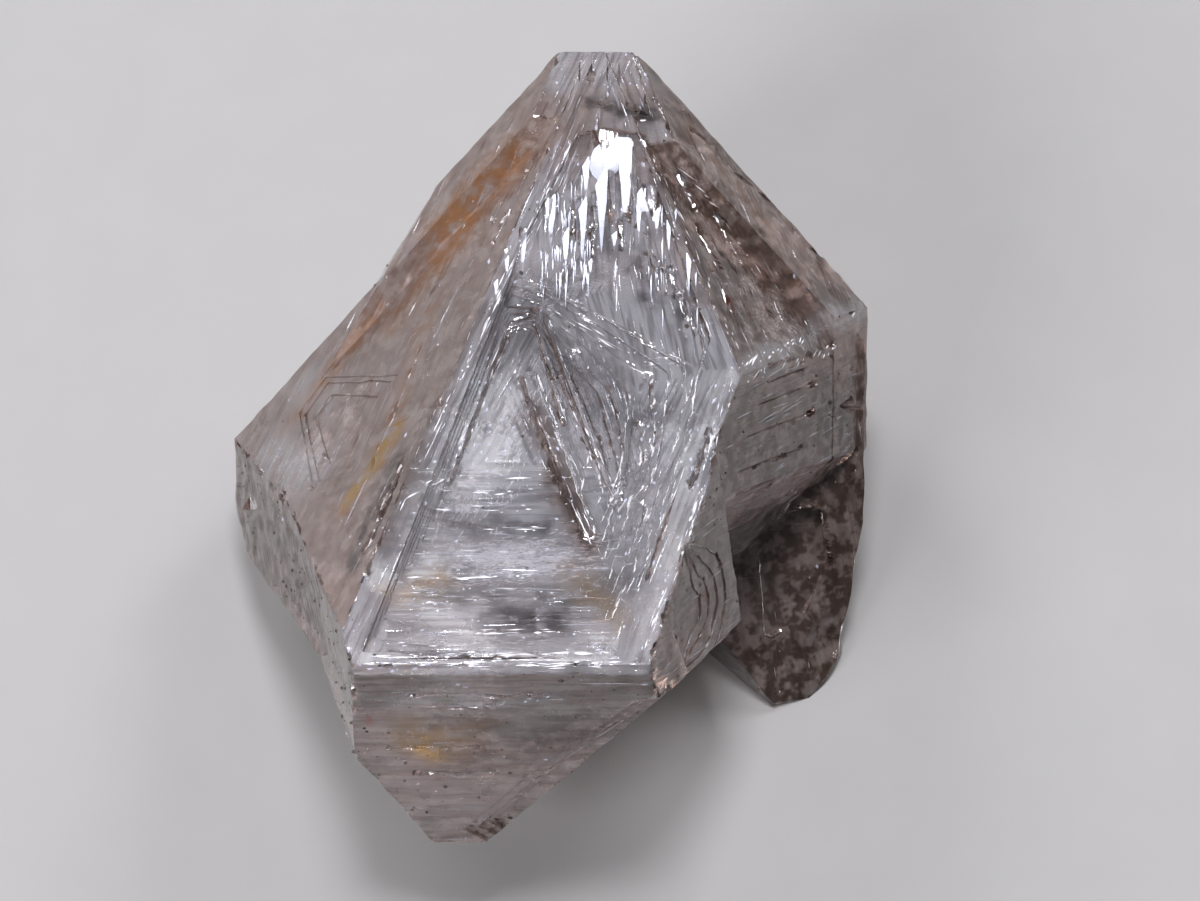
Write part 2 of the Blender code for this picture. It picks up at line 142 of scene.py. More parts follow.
sorting = {
    "alike": 0.93,             # cosine: how near a face has to look to its family's way
    "rimBelowY": -20,          # mm: a ledge that looks like the base rim above this is on an upper face
    "hopperFromZ": 23.8,       # mm: the hopper lies higher than this
    "hopperToY": 14,           # mm: and ends here, short of the summit
    "adoptMm": 0.45,           # a small step takes the look of a face that is this near
    "straying": (0.8, 0.7, 3),  # growth lines stray from their guides: mm, bumps to the mm, seed
}
windowGuides = [  # lines on the hopper face that the growth lines beside them follow, mm
    ((0.2, 18.6), (-16.2, -25.2)), ((-1.5, 6), (-10.5, -13.5)), ((-6.5, -2), (-10.2, -13.3)),
    ((-4.3, 1.2), (-0.5, -12)), ((-4.8, -5.9), (-0.6, -16.9)), ((3.5, 8), (5.5, -3)),
    ((2.2, 16), (9.2, -6.3)), ((8.6, -6), (2.4, -24)), ((6.5, -8), (0.6, -22)),
    ((-3.5, 9), (-3.5, 3)), ((0.5, 13), (0.5, 4)),
]
# the terraces of the lower half run level
windowGuides += [((-12.5 + abs(y + 20) * 0.1, y), (-1, y)) for y in (-13, -16, -19, -21.5, -24.5, -27)]


def habitOf(centres, normals):
    # which family each triangle belongs to, and the way its growth lines run
    other, window = numberOf["other"], numberOf["window"]
    kind = np.full(len(normals), other)
    best = np.full(len(normals), sorting["alike"])
    for number, name in enumerate(habitNames[:-1]):
        match = normals @ np.array(habits[name]["normal"])
        kind[match > best] = number
        best = np.maximum(best, match)
    stray = (kind == numberOf["baseRim"]) & (centres[:, 1] > sorting["rimBelowY"])
    kind[stray] = np.where(centres[stray, 0] < 0, numberOf["leftUpper"], numberOf["rightUpper"])
    inHopper = (centres[:, 2] > sorting["hopperFromZ"]) & (centres[:, 1] < sorting["hopperToY"])
    kind[inHopper & (kind == other)] = window
    plain = np.where(kind == other)[0]
    named = np.where(kind != other)[0]
    tree = KDTree(len(named))
    for index in named:
        tree.insert(centres[index], index)
    tree.balance()
    for index in plain:
        _, near, distance = tree.find(centres[index])
        if distance < sorting["adoptMm"]:
            kind[index] = kind[near]
    along = np.cross(longAxis, normals) + normals * 1e-6
    for number, name in enumerate(habitNames[:-1]):
        along[kind == number] = habits[name]["along"]
    onWindow = np.where(kind == window)[0]
    flat = centres[onWindow, :2] + bumps(centres[onWindow], *sorting["straying"])[:, None]
    away = np.array([lineDistance(flat, *guide) for guide in windowGuides])
    ways = np.array([np.subtract(end, start) for start, end in windowGuides])
    along[onWindow, :2] = ways[away.argmin(axis=0)]
    along[onWindow, 2] = 0
    along -= normals * (along * normals).sum(axis=1, keepdims=True)
    return kind, along / np.maximum(np.linalg.norm(along, axis=1, keepdims=True), 1e-9)


crystal = {
    "upEdgeMm": 0.42,        # longest mesh edge on faces that look up
    "sideEdgeMm": 0.75,      # on steep faces
    "underEdgeMm": 1.3,      # on faces that look down
    "upFrom": 0.15,          # a face looks up when its normal's z is above this
    "sideFrom": -0.4,        # and is steep down to this
    "sharpFrom": 24,         # degrees: flatter folds are shaded smooth
}


def welded(mesh):
    # the solid's points and triangles, with its loose triangles joined and its flat faces cut afresh
    bm = bmesh.new()
    bm.from_mesh(mesh)
    bmesh.ops.remove_doubles(bm, verts=bm.verts, dist=2e-7)
    bmesh.ops.dissolve_limit(bm, angle_limit=math.radians(0.3), verts=bm.verts, edges=bm.edges)
    bmesh.ops.triangulate(bm, faces=bm.faces)
    bm.verts.index_update()
    points = np.array([vert.co for vert in bm.verts]) / metresPerMm - zeroPoint
    tris = np.array([[vert.index for vert in face.verts] for face in bm.faces])
    bm.free()
    return points, tris


def normalsOf(points, tris):
    corners = points[tris]
    normals = np.cross(corners[:, 1] - corners[:, 0], corners[:, 2] - corners[:, 0])
    return normals / np.maximum(np.linalg.norm(normals, axis=1, keepdims=True), 1e-12)


def splitOnce(points, tris):
    # halves the longest edge of every triangle that is too long, and cuts its neighbours to match
    corners = points[tris]
    lengths = np.linalg.norm(corners - np.roll(corners, -1, axis=1), axis=2)
    up = normalsOf(points, tris)[:, 2]
    limit = np.where(up > crystal["sideFrom"], crystal["sideEdgeMm"], crystal["underEdgeMm"])
    limit = np.where(up > crystal["upFrom"], crystal["upEdgeMm"], limit)
    rows, longest = np.arange(len(tris)), lengths.argmax(axis=1)
    over = lengths[rows, longest] > limit
    if not over.any():
        return None
    ends = np.sort(np.stack([tris, np.roll(tris, -1, axis=1)], axis=2), axis=2)
    key = ends[:, :, 0] * len(points) + ends[:, :, 1]
    chosen = np.unique(key[rows[over], longest[over]])
    place = np.searchsorted(chosen, key) % len(chosen)
    hit = chosen[place] == key
    middle = place + len(points)
    points = np.concatenate([points, (points[chosen // len(points)] + points[chosen % len(points)]) / 2])
    cuts = hit.sum(axis=1)

    def turned(count, first):
        # triangles with that many cuts, turned so that the cut sides come first
        picked = np.where(cuts == count)[0]
        order = (np.arange(3) + first(hit[picked])[:, None]) % 3
        sides = [np.take_along_axis(table[picked], order, 1) for table in (tris, middle)]
        return [*sides[0].T, *sides[1].T]

    out = [tris[cuts == 0]]
    a, b, c, ab, bc, ca = turned(1, lambda cut: cut.argmax(axis=1))
    out += [np.c_[a, ab, c], np.c_[ab, b, c]]
    a, b, c, ab, bc, ca = turned(2, lambda cut: (~cut).argmax(axis=1) + 1)
    short = np.linalg.norm(points[a] - points[bc], axis=1) < np.linalg.norm(points[ab] - points[c], axis=1)
    out += [np.c_[ab, b, bc], np.c_[a, ab, bc][short], np.c_[a, bc, c][short],
            np.c_[a, ab, c][~short], np.c_[ab, bc, c][~short]]
    a, b, c, ab, bc, ca = turned(3, lambda cut: np.zeros(len(cut), int))
    out += [np.c_[a, ab, ca], np.c_[ab, b, bc], np.c_[bc, c, ca], np.c_[ab, bc, ca]]
    return points, np.concatenate(out)


points, tris = welded(frame["nodes"]["crystal"].data)
finer = (points, tris)
while finer:
    points, tris = finer
    finer = splitOnce(points, tris)
print("crystal mesh:", len(tris), "triangles")

marks = {
    # what growth and weather left on the surface, with painted shade in hollows and painted highlights and
    # sheen along the rims and on the hopper.
    # for each stain: how much, radius in mm, and the line that it lies along, from and to in mm
    "warm": [  # a brown film of iron
        (0.7, 3.4, (-5.5, 13.8, 25), (-13.6, 4.0, 18.6)), (0.4, 2.6, (-4.5, 13.5, 26), (0, 12.5, 26)),
        (0.5, 2.2, (3.0, 17.0, 25), (13.7, 6.9, 19.1)), (0.5, 1.0, (-1.0, 18.0, 26), (-1.0, 15.5, 26)),
        (0.5, 0.8, (1.6, 18.0, 26), (1.8, 16.0, 26)), (0.5, 2.2, (5.8, -18.5, 24.1), (7.8, -17.0, 21.1)),
        (0.3, 3.0, (-11.0, -29.3, 18), (-5.0, -29.0, 18)),
        (0.15, 5.0, (13.0, -11.0, 5.0), (14.0, -18.0, 2.0)), (0.9, 0.8, (-4.4, -8.0, 25), (-0.7, -17.8, 25)),
        (0.5, 1.8, (4.0, 11.0, 26), (8.0, 0.5, 26)), (0.6, 1.2, (-8.0, 2.0, 26), (-14.5, -17.5, 26)),
    ],
    "frostAndHighlight": [  # etched white; along the right rims and the base rim also a painted highlight, and on the hopper's lower left a painted sheen
        # the four marks on this line and the next, along the right rims and the base rim, are partly painted
        # highlight
        (0.6, 0.9, (8.0, -6.6, 26), (2.8, -25.2, 26)), (0.9, 0.9, (9.0, -6.0, 25.8), (15.5, 2.6, 18.3)),
        (0.8, 1.0, (15.5, 2.6, 18.3), (18.3, 5.2, 14.9)), (0.9, 0.8, (-14.8, -26.4, 26), (3.2, -26.6, 26)),
        (0.7, 0.5, (-6.6, -2.6, 25.6), (-10.1, -14.0, 25.1)),
        (0.8, 0.8, (-10.1, -14.1, 25.1), (-10.1, -14.1, 25.1)),
        (1.0, 1.0, (-14.0, -21.0, 25.6), (-10.6, -19.9, 25.5)),
        (1.0, 2.4, (-22.0, -6.0, 13.2), (-18.6, -8.0, 16.0)),
        (0.6, 0.9, (-24.2, -2.5, 10.5), (-10.0, 10.5, 21.5)),
        (0.5, 0.9, (8.7, -12.1, 17.1), (17.2, -2.5, 11.2)), (0.5, 2.0, (-1.5, 17.8, 26), (3.0, 17.6, 25.5)),
        # partly a painted sheen: it whitens the hopper's lower left where its silky face catches the light
        (1.0, 2.3, (-7.0, -6.5, 24.4), (-8.2, -12.0, 24.4)),
        (0.5, 3.0, (13.0, -12.0, 6.0), (15.0, -19.0, 2.0)),
        (0.5, 1.2, (-13.0, -28.2, 22.5), (-2.0, -28.2, 22.5)),
        (-0.25, 5.0, (-6.0, -22.0, 25), (0.0, -19.0, 25)),
        (0.7, 1.6, (-11.2, -22.3, 25.6), (-8.2, -24.8, 25.6)),
        (0.7, 1.0, (-11.1, -19.2, 25.6), (-5.9, -19.6, 25.6)),
        (0.9, 0.8, (-2.1, -25.6, 25.8), (0.6, -25.6, 25.8)),
        (0.4, 1.4, (3.0, -6.0, 25.2), (5.2, -12.0, 25.2)),
        (0.35, 1.4, (1.0, -14.0, 25.2), (2.0, -19.0, 25.2)), (0.4, 1.6, (-9.0, -9.0, 25), (-7.0, -12.0, 25)),
    ],
    "smokeAndShade": [  # grey-brown quartz; in the pits under the summit, painted shade
        (1.0, 2.0, (15.5, -2.5, 14.0), (17.3, -5.6, 8.0)), (0.5, 2.6, (12.5, -7.7, 7.1), (16.0, -9.1, 5.2)),
        # the marks at y near 15, here and on the next line, darken the pits under the summit: painted shade
        (0.9, 6.0, (13.0, -9.0, 5.0), (13.5, -13.0, 2.0)), (1.0, 0.6, (-0.6, 15.3, 25.4), (1.0, 15.1, 25.4)),
        (1.0, 0.7, (1.8, 15.0, 25.4), (3.2, 14.3, 25.4)),
        (0.7, 0.45, (-12.0, -31.0, 9.4), (-10.6, -31.3, 8.7)),
        (0.6, 0.4, (-6.9, -30.8, 9.0), (-5.6, -30.3, 10.2)),
        (1.0, 0.65, (-13.2, -11.4, 24.6), (-15.9, -19.6, 24.2)),
        (0.6, 1.0, (-14.5, -29.5, 17.0), (-11.5, -30.8, 11.0)),
        (0.5, 1.3, (-8.0, -29.6, 16.5), (-1.0, -28.6, 20.0)),
        (0.5, 0.7, (-23.8, -6.8, 10.6), (-24.4, -9.4, 7.4)),
    ],
    "lined": [  # striation; less of it where the amount is below 0
        (-0.6, 6.0, (13.0, -9.0, 5.0), (13.5, -17.0, 2.0)), (-0.5, 6.5, (-9.0, -20.0, 25), (0.0, -21.0, 25)),
    ],
    "rust": [  # rust-brown films
        (1.0, 0.8, (-13.5, -8.6, 23.3), (-16.6, -13.4, 22.0)),
        (0.45, 0.9, (-11.4, 1.5, 21.7), (-13.5, -7.0, 22.6)),
        (0.4, 0.9, (-18.3, 0.2, 15.6), (-21.6, -3.0, 13.4)),
        (0.75, 1.3, (-5.8, 11.9, 24.2), (-11.0, 8.2, 20.8)),
        (0.6, 1.2, (-9.5, 8.0, 21.8), (-14.2, 1.8, 18.9)),
        (0.5, 0.8, (-15.0, 4.0, 17.8), (-20.0, -0.8, 14.2)),
        (0.35, 1.6, (-6.5, 12.2, 24.2), (-10.5, 5.5, 21.0)),
        (0.6, 0.35, (11.8, 8.7, 20.3), (11.5, 9.2, 20.4)), (0.3, 1.0, (6.1, 14.3, 23.9), (10.5, 9.5, 21.3)),
        (0.3, 0.9, (-7.9, -28.9, 20.3), (-7.0, -28.8, 20.6)),
    ],
    "amber": [  # ochre films
        (0.9, 0.75, (-13.5, -8.6, 23.3), (-16.3, -13.0, 22.0)),
        (0.85, 0.9, (-11.6, -29.2, 18.6), (-10.8, -29.4, 17.6)),
        (0.35, 1.5, (-12.4, -29.0, 20.0), (-9.5, -29.0, 19.0)),
        (0.5, 0.9, (-13.2, -21.5, 25.6), (-10.2, -20.3, 25.5)),
        (0.3, 1.2, (-1.5, -20.0, 25.3), (1.0, -23.6, 25.5)),
    ],
    "red": [  # small red spots
        (0.95, 0.3, (6.7, -19.5, 20.4), (6.6, -19.8, 20.5)),
        (0.6, 0.3, (-15.0, -28.6, 20.9), (-15.0, -28.4, 21.4)),
        (0.3, 0.5, (8.3, 1.0, 24.6), (8.5, 0.0, 24.5)),
    ],
    "clear": [  # takes the frost away
        (0.9, 2.2, (-2.6, -7.2, 24), (1.0, -3.4, 24)),
    ],
    "shade": [  # painted shade, dark in the depth of a step, pit or gap; along the hopper's middle blade also the blade's own grey-brown
        (0.5, 1.2, (-4.0, -29.5, 18), (5.0, -24.0, 18)), (0.5, 0.5, (-8.5, -29.0, 20), (-2.5, -29.0, 20)),
        (1.0, 0.5, (-13.0, -10.8, 24.6), (-15.9, -19.6, 24.2)),
        (1.0, 0.55, (-0.6, 15.3, 25.4), (1.0, 15.1, 25.4)),
        (1.0, 0.65, (1.8, 15.0, 25.4), (3.2, 14.3, 25.4)), (0.8, 0.6, (-7.1, -13.0, 25), (-3.1, -13.4, 25)),
        (0.8, 0.9, (-9.4, -16.2, 25), (-3.3, -16.5, 25)), (1.0, 0.9, (-6.9, -23.3, 25), (-2.8, -23.5, 25)),
        (0.9, 0.3, (-13.1, -26.0, 25.6), (-7.7, -26.1, 25.6)),
        # the second mark on this line follows the hopper's middle blade: its own grey-brown as well as
        # painted shade
        (0.6, 0.6, (-11.5, -21.6, 25), (-4.0, -21.5, 25)), (0.9, 0.75, (-4.6, -7.0, 25), (-0.7, -17.8, 25)),
        (0.5, 2.2, (-3.5, -1.5, 25), (1.5, -9.0, 25)), (0.45, 1.6, (-3.5, 1.5, 25), (0.5, 3.2, 25)),
        (1.0, 0.35, (-6.6, 2.2, 25.5), (-5.5, -2.0, 25.5)), (1.0, 0.6, (2.2, 3.5, 26), (3.4, -0.6, 26)),
        (0.9, 0.5, (4.6, 1.5, 26), (5.6, -2.2, 26)), (0.5, 1.5, (4.0, 9.0, 26), (7.8, 0.0, 26)),
        (0.6, 0.5, (-12.0, -5.0, 26), (-15.6, -15.5, 26)),
        (0.5, 0.9, (-11.0, -9.0, 25.5), (-14.8, -21.5, 25.5)),
        (0.6, 1.8, (-5.0, -24.0, 25), (1.5, -20.5, 25)), (0.5, 1.6, (3.5, -9.0, 25), (1.5, -17.0, 25)),
        (0.4, 1.2, (-12.0, -22.8, 25.5), (-8.5, -19.8, 25.5)),
    ],
    "milkAndHighlight": [  # milky quartz; along the right rims also a painted highlight, and on the hopper's lower left a painted sheen
        (0.85, 1.7, (-22.6, -4.5, 12.8), (-19.3, -8.8, 17.2)),
        # on this line and the next two, the marks along the right rims are partly painted highlight, and the
        # one on the hopper's lower left partly painted sheen
        (0.5, 1.3, (-20.7, 0.5, 12.9), (-18.4, -2.1, 15.6)), (0.5, 0.9, (8.0, -6.6, 26), (2.8, -25.2, 26)),
        (0.8, 0.9, (9.0, -6.0, 25.8), (15.5, 2.6, 18.3)), (0.8, 0.8, (15.5, 2.6, 18.3), (18.3, 5.2, 14.9)),
        (0.5, 2.0, (-7.0, -7.0, 24.5), (-8.2, -12.0, 24.5)),
        (0.5, 1.2, (-11.2, -22.3, 25.6), (-8.2, -24.8, 25.6)),
        (0.4, 1.0, (2.6, -10.2, 24.8), (1.0, -13.0, 24.8)),
        (0.5, 1.0, (-12.5, -28.0, 23.0), (-3.0, -28.0, 23.0)),
        (0.3, 1.6, (-14.4, -28.4, 20.0), (-12.0, -30.8, 11.0)),
        (0.35, 1.3, (12.0, -13.0, 6.5), (15.0, -18.0, 3.0)),
        (0.4, 1.6, (-1.5, 17.5, 26.0), (3.0, 17.3, 25.5)),
    ],
}
frayed = ((0.5, 0.9, 5), (0.22, 2.6, 15))  # how the marks' outlines wander: mm, bumps to the mm, seed


def stainsAt(points, kind):
    # how much of each stain lies at each point, from its family of faces and the marks near it
    base = {name: np.zeros(len(points)) for name in marks}
    for number, habit in enumerate(habits.values()):
        for name in ("warm", "frostAndHighlight", "smokeAndShade", "lined"):
            base[name][kind == number] = habit[name]
    moved = points + nudges(points, *frayed[0]) + nudges(points, *frayed[1])
    for name, lines in marks.items():
        for amount, radius, start, end in lines:
            near = np.exp(-(lineDistance(moved, start, end) / radius) ** 2)
            base[name] = base[name] + amount * near * (1 - np.minimum(base[name], 1) * 0.5)
    base["frostAndHighlight"] *= 1 - np.minimum(base["clear"], 1)
    return {name: np.clip(value, 0, 1) for name, value in base.items()}


wear = {
    "fold": 0.93,               # cosine: edges sharper than this are worn
    "share": 0.3,               # how far an edge is worn back towards its neighbours
    "even": 0.6,                # how much of that is the same all along an edge
    "uneven": (0.6, 1.3, 21),   # and how much comes and goes: amount, bumps to the mm, seed
    "leastAndMost": (0.05, 0.6),  # of the share
    "chipMm": 0.45,             # depth of the chips where two families of faces meet
    "chips": (1, 1.4, 26),      # amount, bumps to the mm, seed
    "chipFrom": 0.15,           # of the bumps, what stands above this is a chip
    "chipSteepness": 2.5,
    "flatFootMm": 0.05,         # nothing lower is worn, so the face it rests on stays flat
    "chipsFromMm": 0.5,         # height where the chips start
    "meltedZMm": (23.9, 25.85),  # the hopper's steps between these heights are melted together
    "meltedToY": -1,            # mm: in its lower half
    "meltPasses": 2,
}
relief = {
    "stepMm": 0.05,             # height of the growth steps
    "stepsPerMm": 0.62,
    "stepDrift": (0.9, 0.22, 22),  # how the steps wander, in steps; bumps to the mm, seed
    "stepSteepness": 6,         # riser over tread
    "stepEven": 0.6,            # share of the steps' height that is the same everywhere
    "stepUneven": (1, 0.3, 23),  # and how much comes and goes from place to place
    "dents": (0.035, 0.45, 24),  # slow unevenness: mm, bumps to the mm, seed
    "knobs": (0.35, 0.5, 27),   # on the lobe beside the base
    "lobeMm": (9, -3, 12),      # the lobe lies right of this x, below this y and under this z
    "lobeFadeMm": 2,
    "pits": (0.07, 1.1, 28),    # on the faces other than the hopper
    "frosting": (0.007, 2.2, 25),
    "footFadeMm": 0.5,          # height over which the relief fades out, so that it still rests flat
}


def pointNormals(points, tris, normals):
    total = np.zeros_like(points)
    weight = np.linalg.norm(np.cross(points[tris[:, 1]] - points[tris[:, 0]],
                                     points[tris[:, 2]] - points[tris[:, 0]]), axis=1)
    for corner in range(3):
        np.add.at(total, tris[:, corner], normals * weight[:, None])
    return total / np.maximum(np.linalg.norm(total, axis=1, keepdims=True), 1e-12)


def neighbourSum(points, pairs):
    # the sum of the points at the other ends of each point's edges
    total = np.zeros_like(points)
    for here, there in ((pairs[:, 0], pairs[:, 1]), (pairs[:, 1], pairs[:, 0])):
        np.add.at(total, here, points[there])
    return total


def worn(points, tris, kind, normals, upright):
    # outer edges rubbed down and chipped, and the hopper's steps melted together
    ends = np.sort(np.concatenate([tris[:, [0, 1]], tris[:, [1, 2]], tris[:, [2, 0]]]), axis=1)
    owner = np.tile(np.arange(len(tris)), 3)
    order = np.lexsort((ends[:, 1], ends[:, 0]))
    pairs, first, second = ends[order][::2], owner[order][::2], owner[order][1::2]
    fold = (normals[first] * normals[second]).sum(axis=1)
    centres = points[tris].mean(axis=1)
    outward = ((centres[second] - centres[first]) * normals[first]).sum(axis=1)
    outer = (fold < wear["fold"]) & (outward < -1e-4)  # across an inner edge the neighbour stands proud
    touched, between = np.zeros(len(points), bool), np.zeros(len(points), bool)
    touched[pairs[outer].ravel()] = True
    between[pairs[outer & (kind[first] != kind[second])].ravel()] = True
    count = neighbourSum(np.ones((len(points), 1)), pairs)
    share = wear["share"] * (wear["even"] + bumps(points, *wear["uneven"]))
    share = np.where(touched & (points[:, 2] > wear["flatFootMm"]), np.clip(share, *wear["leastAndMost"]), 0)
    smooth = points + share[:, None] * (neighbourSum(points, pairs) / count - points)
    chipped = np.clip((bumps(points, *wear["chips"]) - wear["chipFrom"]) * wear["chipSteepness"], 0, 1)
    chipped *= between & (points[:, 2] > wear["chipsFromMm"])
    smooth -= upright * (wear["chipMm"] * chipped)[:, None]
    low, high = wear["meltedZMm"]
    melted = (points[:, 2] > low) & (points[:, 2] < high) & (points[:, 1] < wear["meltedToY"])
    for _ in range(wear["meltPasses"]):
        smooth = np.where(melted[:, None], (smooth + neighbourSum(smooth, pairs) / count) / 2, smooth)
    return smooth


def reliefHeight(points, tris, along, upright, lined, pitted):
    # growth steps, slow dents, knobs, pits and frosting, as a height in mm at each point
    way = np.zeros_like(points)
    way[tris.ravel()] = np.repeat(along, 3, axis=0)
    across = (points * np.cross(upright, way)).sum(axis=1)
    travel = across * relief["stepsPerMm"] + bumps(points, *relief["stepDrift"])
    ramp = travel - np.floor(travel)
    height = relief["stepMm"] * (np.minimum(ramp, (1 - ramp) * relief["stepSteepness"]) - 0.5)
    height *= relief["stepEven"] + bumps(points, *relief["stepUneven"])
    height *= lined
    height += bumps(points, *relief["dents"])
    (fromX, toY, toZ), fade = relief["lobeMm"], relief["lobeFadeMm"]
    lobe = np.clip((points[:, 0] - fromX) / fade, 0, 1) * np.clip((toZ - points[:, 2]) / fade, 0, 1)
    lobe *= np.clip((toY - points[:, 1]) / fade, 0, 1)
    height += lobe * bumps(points, *relief["knobs"])
    height += pitted * bumps(points, *relief["pits"])
    height += bumps(points, *relief["frosting"])
    return height * np.clip(points[:, 2] / relief["footFadeMm"], 0, 1)


def stored(mesh, name, kind, domain, values):
    # keeps numbers on the mesh for the material or the node trees to read
    layer = mesh.attributes.new(name, kind, domain)
    field = "vector" if kind == "FLOAT_VECTOR" else "value"
    layer.data.foreach_set(field, np.ravel(values).astype(np.float32))


flatNormals = normalsOf(points, tris)
kind, along = habitOf(points[tris].mean(axis=1), flatNormals)
pointKind = np.zeros(len(points), int)
pointKind[tris.ravel()] = np.repeat(kind, 3)
stain = stainsAt(points, pointKind)
upright = pointNormals(points, tris, flatNormals)
height = reliefHeight(points, tris, along, upright, stain["lined"], pointKind != numberOf["window"])
rough = worn(points, tris, kind, flatNormals, upright) + upright * height[:, None]
bodyMesh = bpy.data.meshes.new("quartz_crystal")
bodyMesh.from_pydata((rough + zeroPoint) * metresPerMm, [], tris)
body = linked("quartz_crystal", bodyMesh)
for name, values in stain.items():
    stored(bodyMesh, name, "FLOAT", "POINT", values)
# millimetres across, along and above each face, for the striated patterns
side = np.cross(flatNormals, along)
corners = rough[tris]
habitsApartMm = 7.3  # so that a pattern doesn't run on from one family of faces to the next
streak = np.stack([(corners * side[:, None]).sum(axis=2), (corners * along[:, None]).sum(axis=2),
                   (corners * flatNormals[:, None]).sum(axis=2) + habitsApartMm * kind[:, None]], axis=2)
stored(bodyMesh, "streak", "FLOAT_VECTOR", "CORNER", streak)
bodyMesh.shade_smooth()
bodyMesh.set_sharp_from_angle(angle=math.radians(crystal["sharpFrom"]))
surface = BVHTree.FromPolygons((rough + zeroPoint) * metresPerMm, tris.tolist())
print("relief and stains laid on")

# Natural quartz, grown from hot water and then etched and stained. A clear face is glassy and shows the
# inside; a frosted one is milky with fine white grain; iron and smoke lie over both in uneven films.
# its colour also holds painted shade in hollows and pits, and painted highlight and sheen where the rims and
# the hopper catch the light
quartz = {
    "clear": "#e4e2ea",
    "ior": 1.544,
    "transmission": 0.8,
    "absorbed": "#bfa79d",   # the colour that light takes on inside
    "absorbedPerMetre": 20,
    "wetLook": 0.28,         # how much of the glassy outer skin lies over the cloudy inside
    "skinRoughness": 0.05,
    "smooth": 0.05,          # roughness of a clear face
    "etched": 0.4,           # roughness of a frosted one
    "frostedFrom": (0.3, 0.6),  # where the cloud pattern starts to roughen the frost, and where it is full
    "lineBumpMm": 0.05,      # height of the fine growth lines
    "terraces": (("broad", 0.045, 3.0), ("cloud", 0.05, 2.5)),  # pattern, height of a step, weight
    "grainBumpMm": 0.012,    # height of the etch grain
    "raggedness": 0.62,      # of the blotches
    "layering": 0.4,         # how fast the striated patterns change from one step up to the next, per mm
}
patterns = {
    # spacing across in mm, how many times as long along the growth lines (0: an even blotch), detail;
    # real striae are down to 0.01 mm apart, and the fine ones are drawn wider so that they show
    "broad": (0.85, 9, 2.0),
    "fine": (0.26, 16, 1.0),
    "cloud": (3.2, 0, 3.0),
    "patch": (1.0, 0, 2.0),
    "grain": (0.16, 0, 1.0),
}
colourLayers = [
    # stain, pattern it shows in, where the pattern starts and is full, how much, colour
    ("warm", "cloud", 0.0, 0.1, 0.6, "#c09078"),
    # the frost layers also paint the highlights along the rims and the sheen on the hopper's lower left
    ("frostAndHighlight", "cloud", 0.42, 0.62, 0.5, "#f0ecf4"),
    ("frostAndHighlight", "broad", 0.46, 0.6, 0.55, "#f0f1fa"),
    ("warm", "cloud", 0.3, 0.58, 0.6, "#a57a5e"),
    ("warm", "broad", 0.4, 0.66, 0.4, "#86675a"),
    ("frostAndHighlight", "fine", 0.52, 0.62, 0.75, "#ffffff"),
    # the smoke layers also paint the shade in the pits under the summit
    ("smokeAndShade", "cloud", 0.36, 0.58, 0.95, "#42362f"),
    ("smokeAndShade", "patch", 0.44, 0.56, 0.7, "#33281f"),
    ("warm", "fine", 0.5, 0.62, 0.45, "#76594e"),
    ("warm", "patch", 0.54, 0.38, 0.5, "#f0dfd6"),
    ("lined", "fine", 0.47, 0.36, 0.6, "#4a4348"),
    ("lined", "broad", 0.47, 0.34, 0.65, "#5a4e4c"),
    # painted shade, where the shade marks lie
    ("shade", "patch", 0.3, 0.52, 0.85, "#57555a"),
    ("shade", "fine", 0.4, 0.6, 0.5, "#3a3636"),
    ("warm", "cloud", 0.0, 0.1, 0.15, "#a8806a"),
    # the milk layers also paint the highlights along the right rims and the sheen on the hopper's lower left
    ("milkAndHighlight", "patch", 0.32, 0.58, 0.75, "#ece6ec"),
    ("milkAndHighlight", "fine", 0.4, 0.6, 0.5, "#ffffff"),
    ("rust", "patch", 0.3, 0.55, 0.9, "#c98a54"),
    ("amber", "patch", 0.28, 0.5, 1.0, "#d0a040"),
    ("red", "patch", 0.28, 0.5, 1.0, "#b03a1c"),
]


def newMaterial(name):
    material = bpy.data.materials.new(name)
    material.use_nodes = True
    material.node_tree.nodes.clear()
    return material, material.node_tree


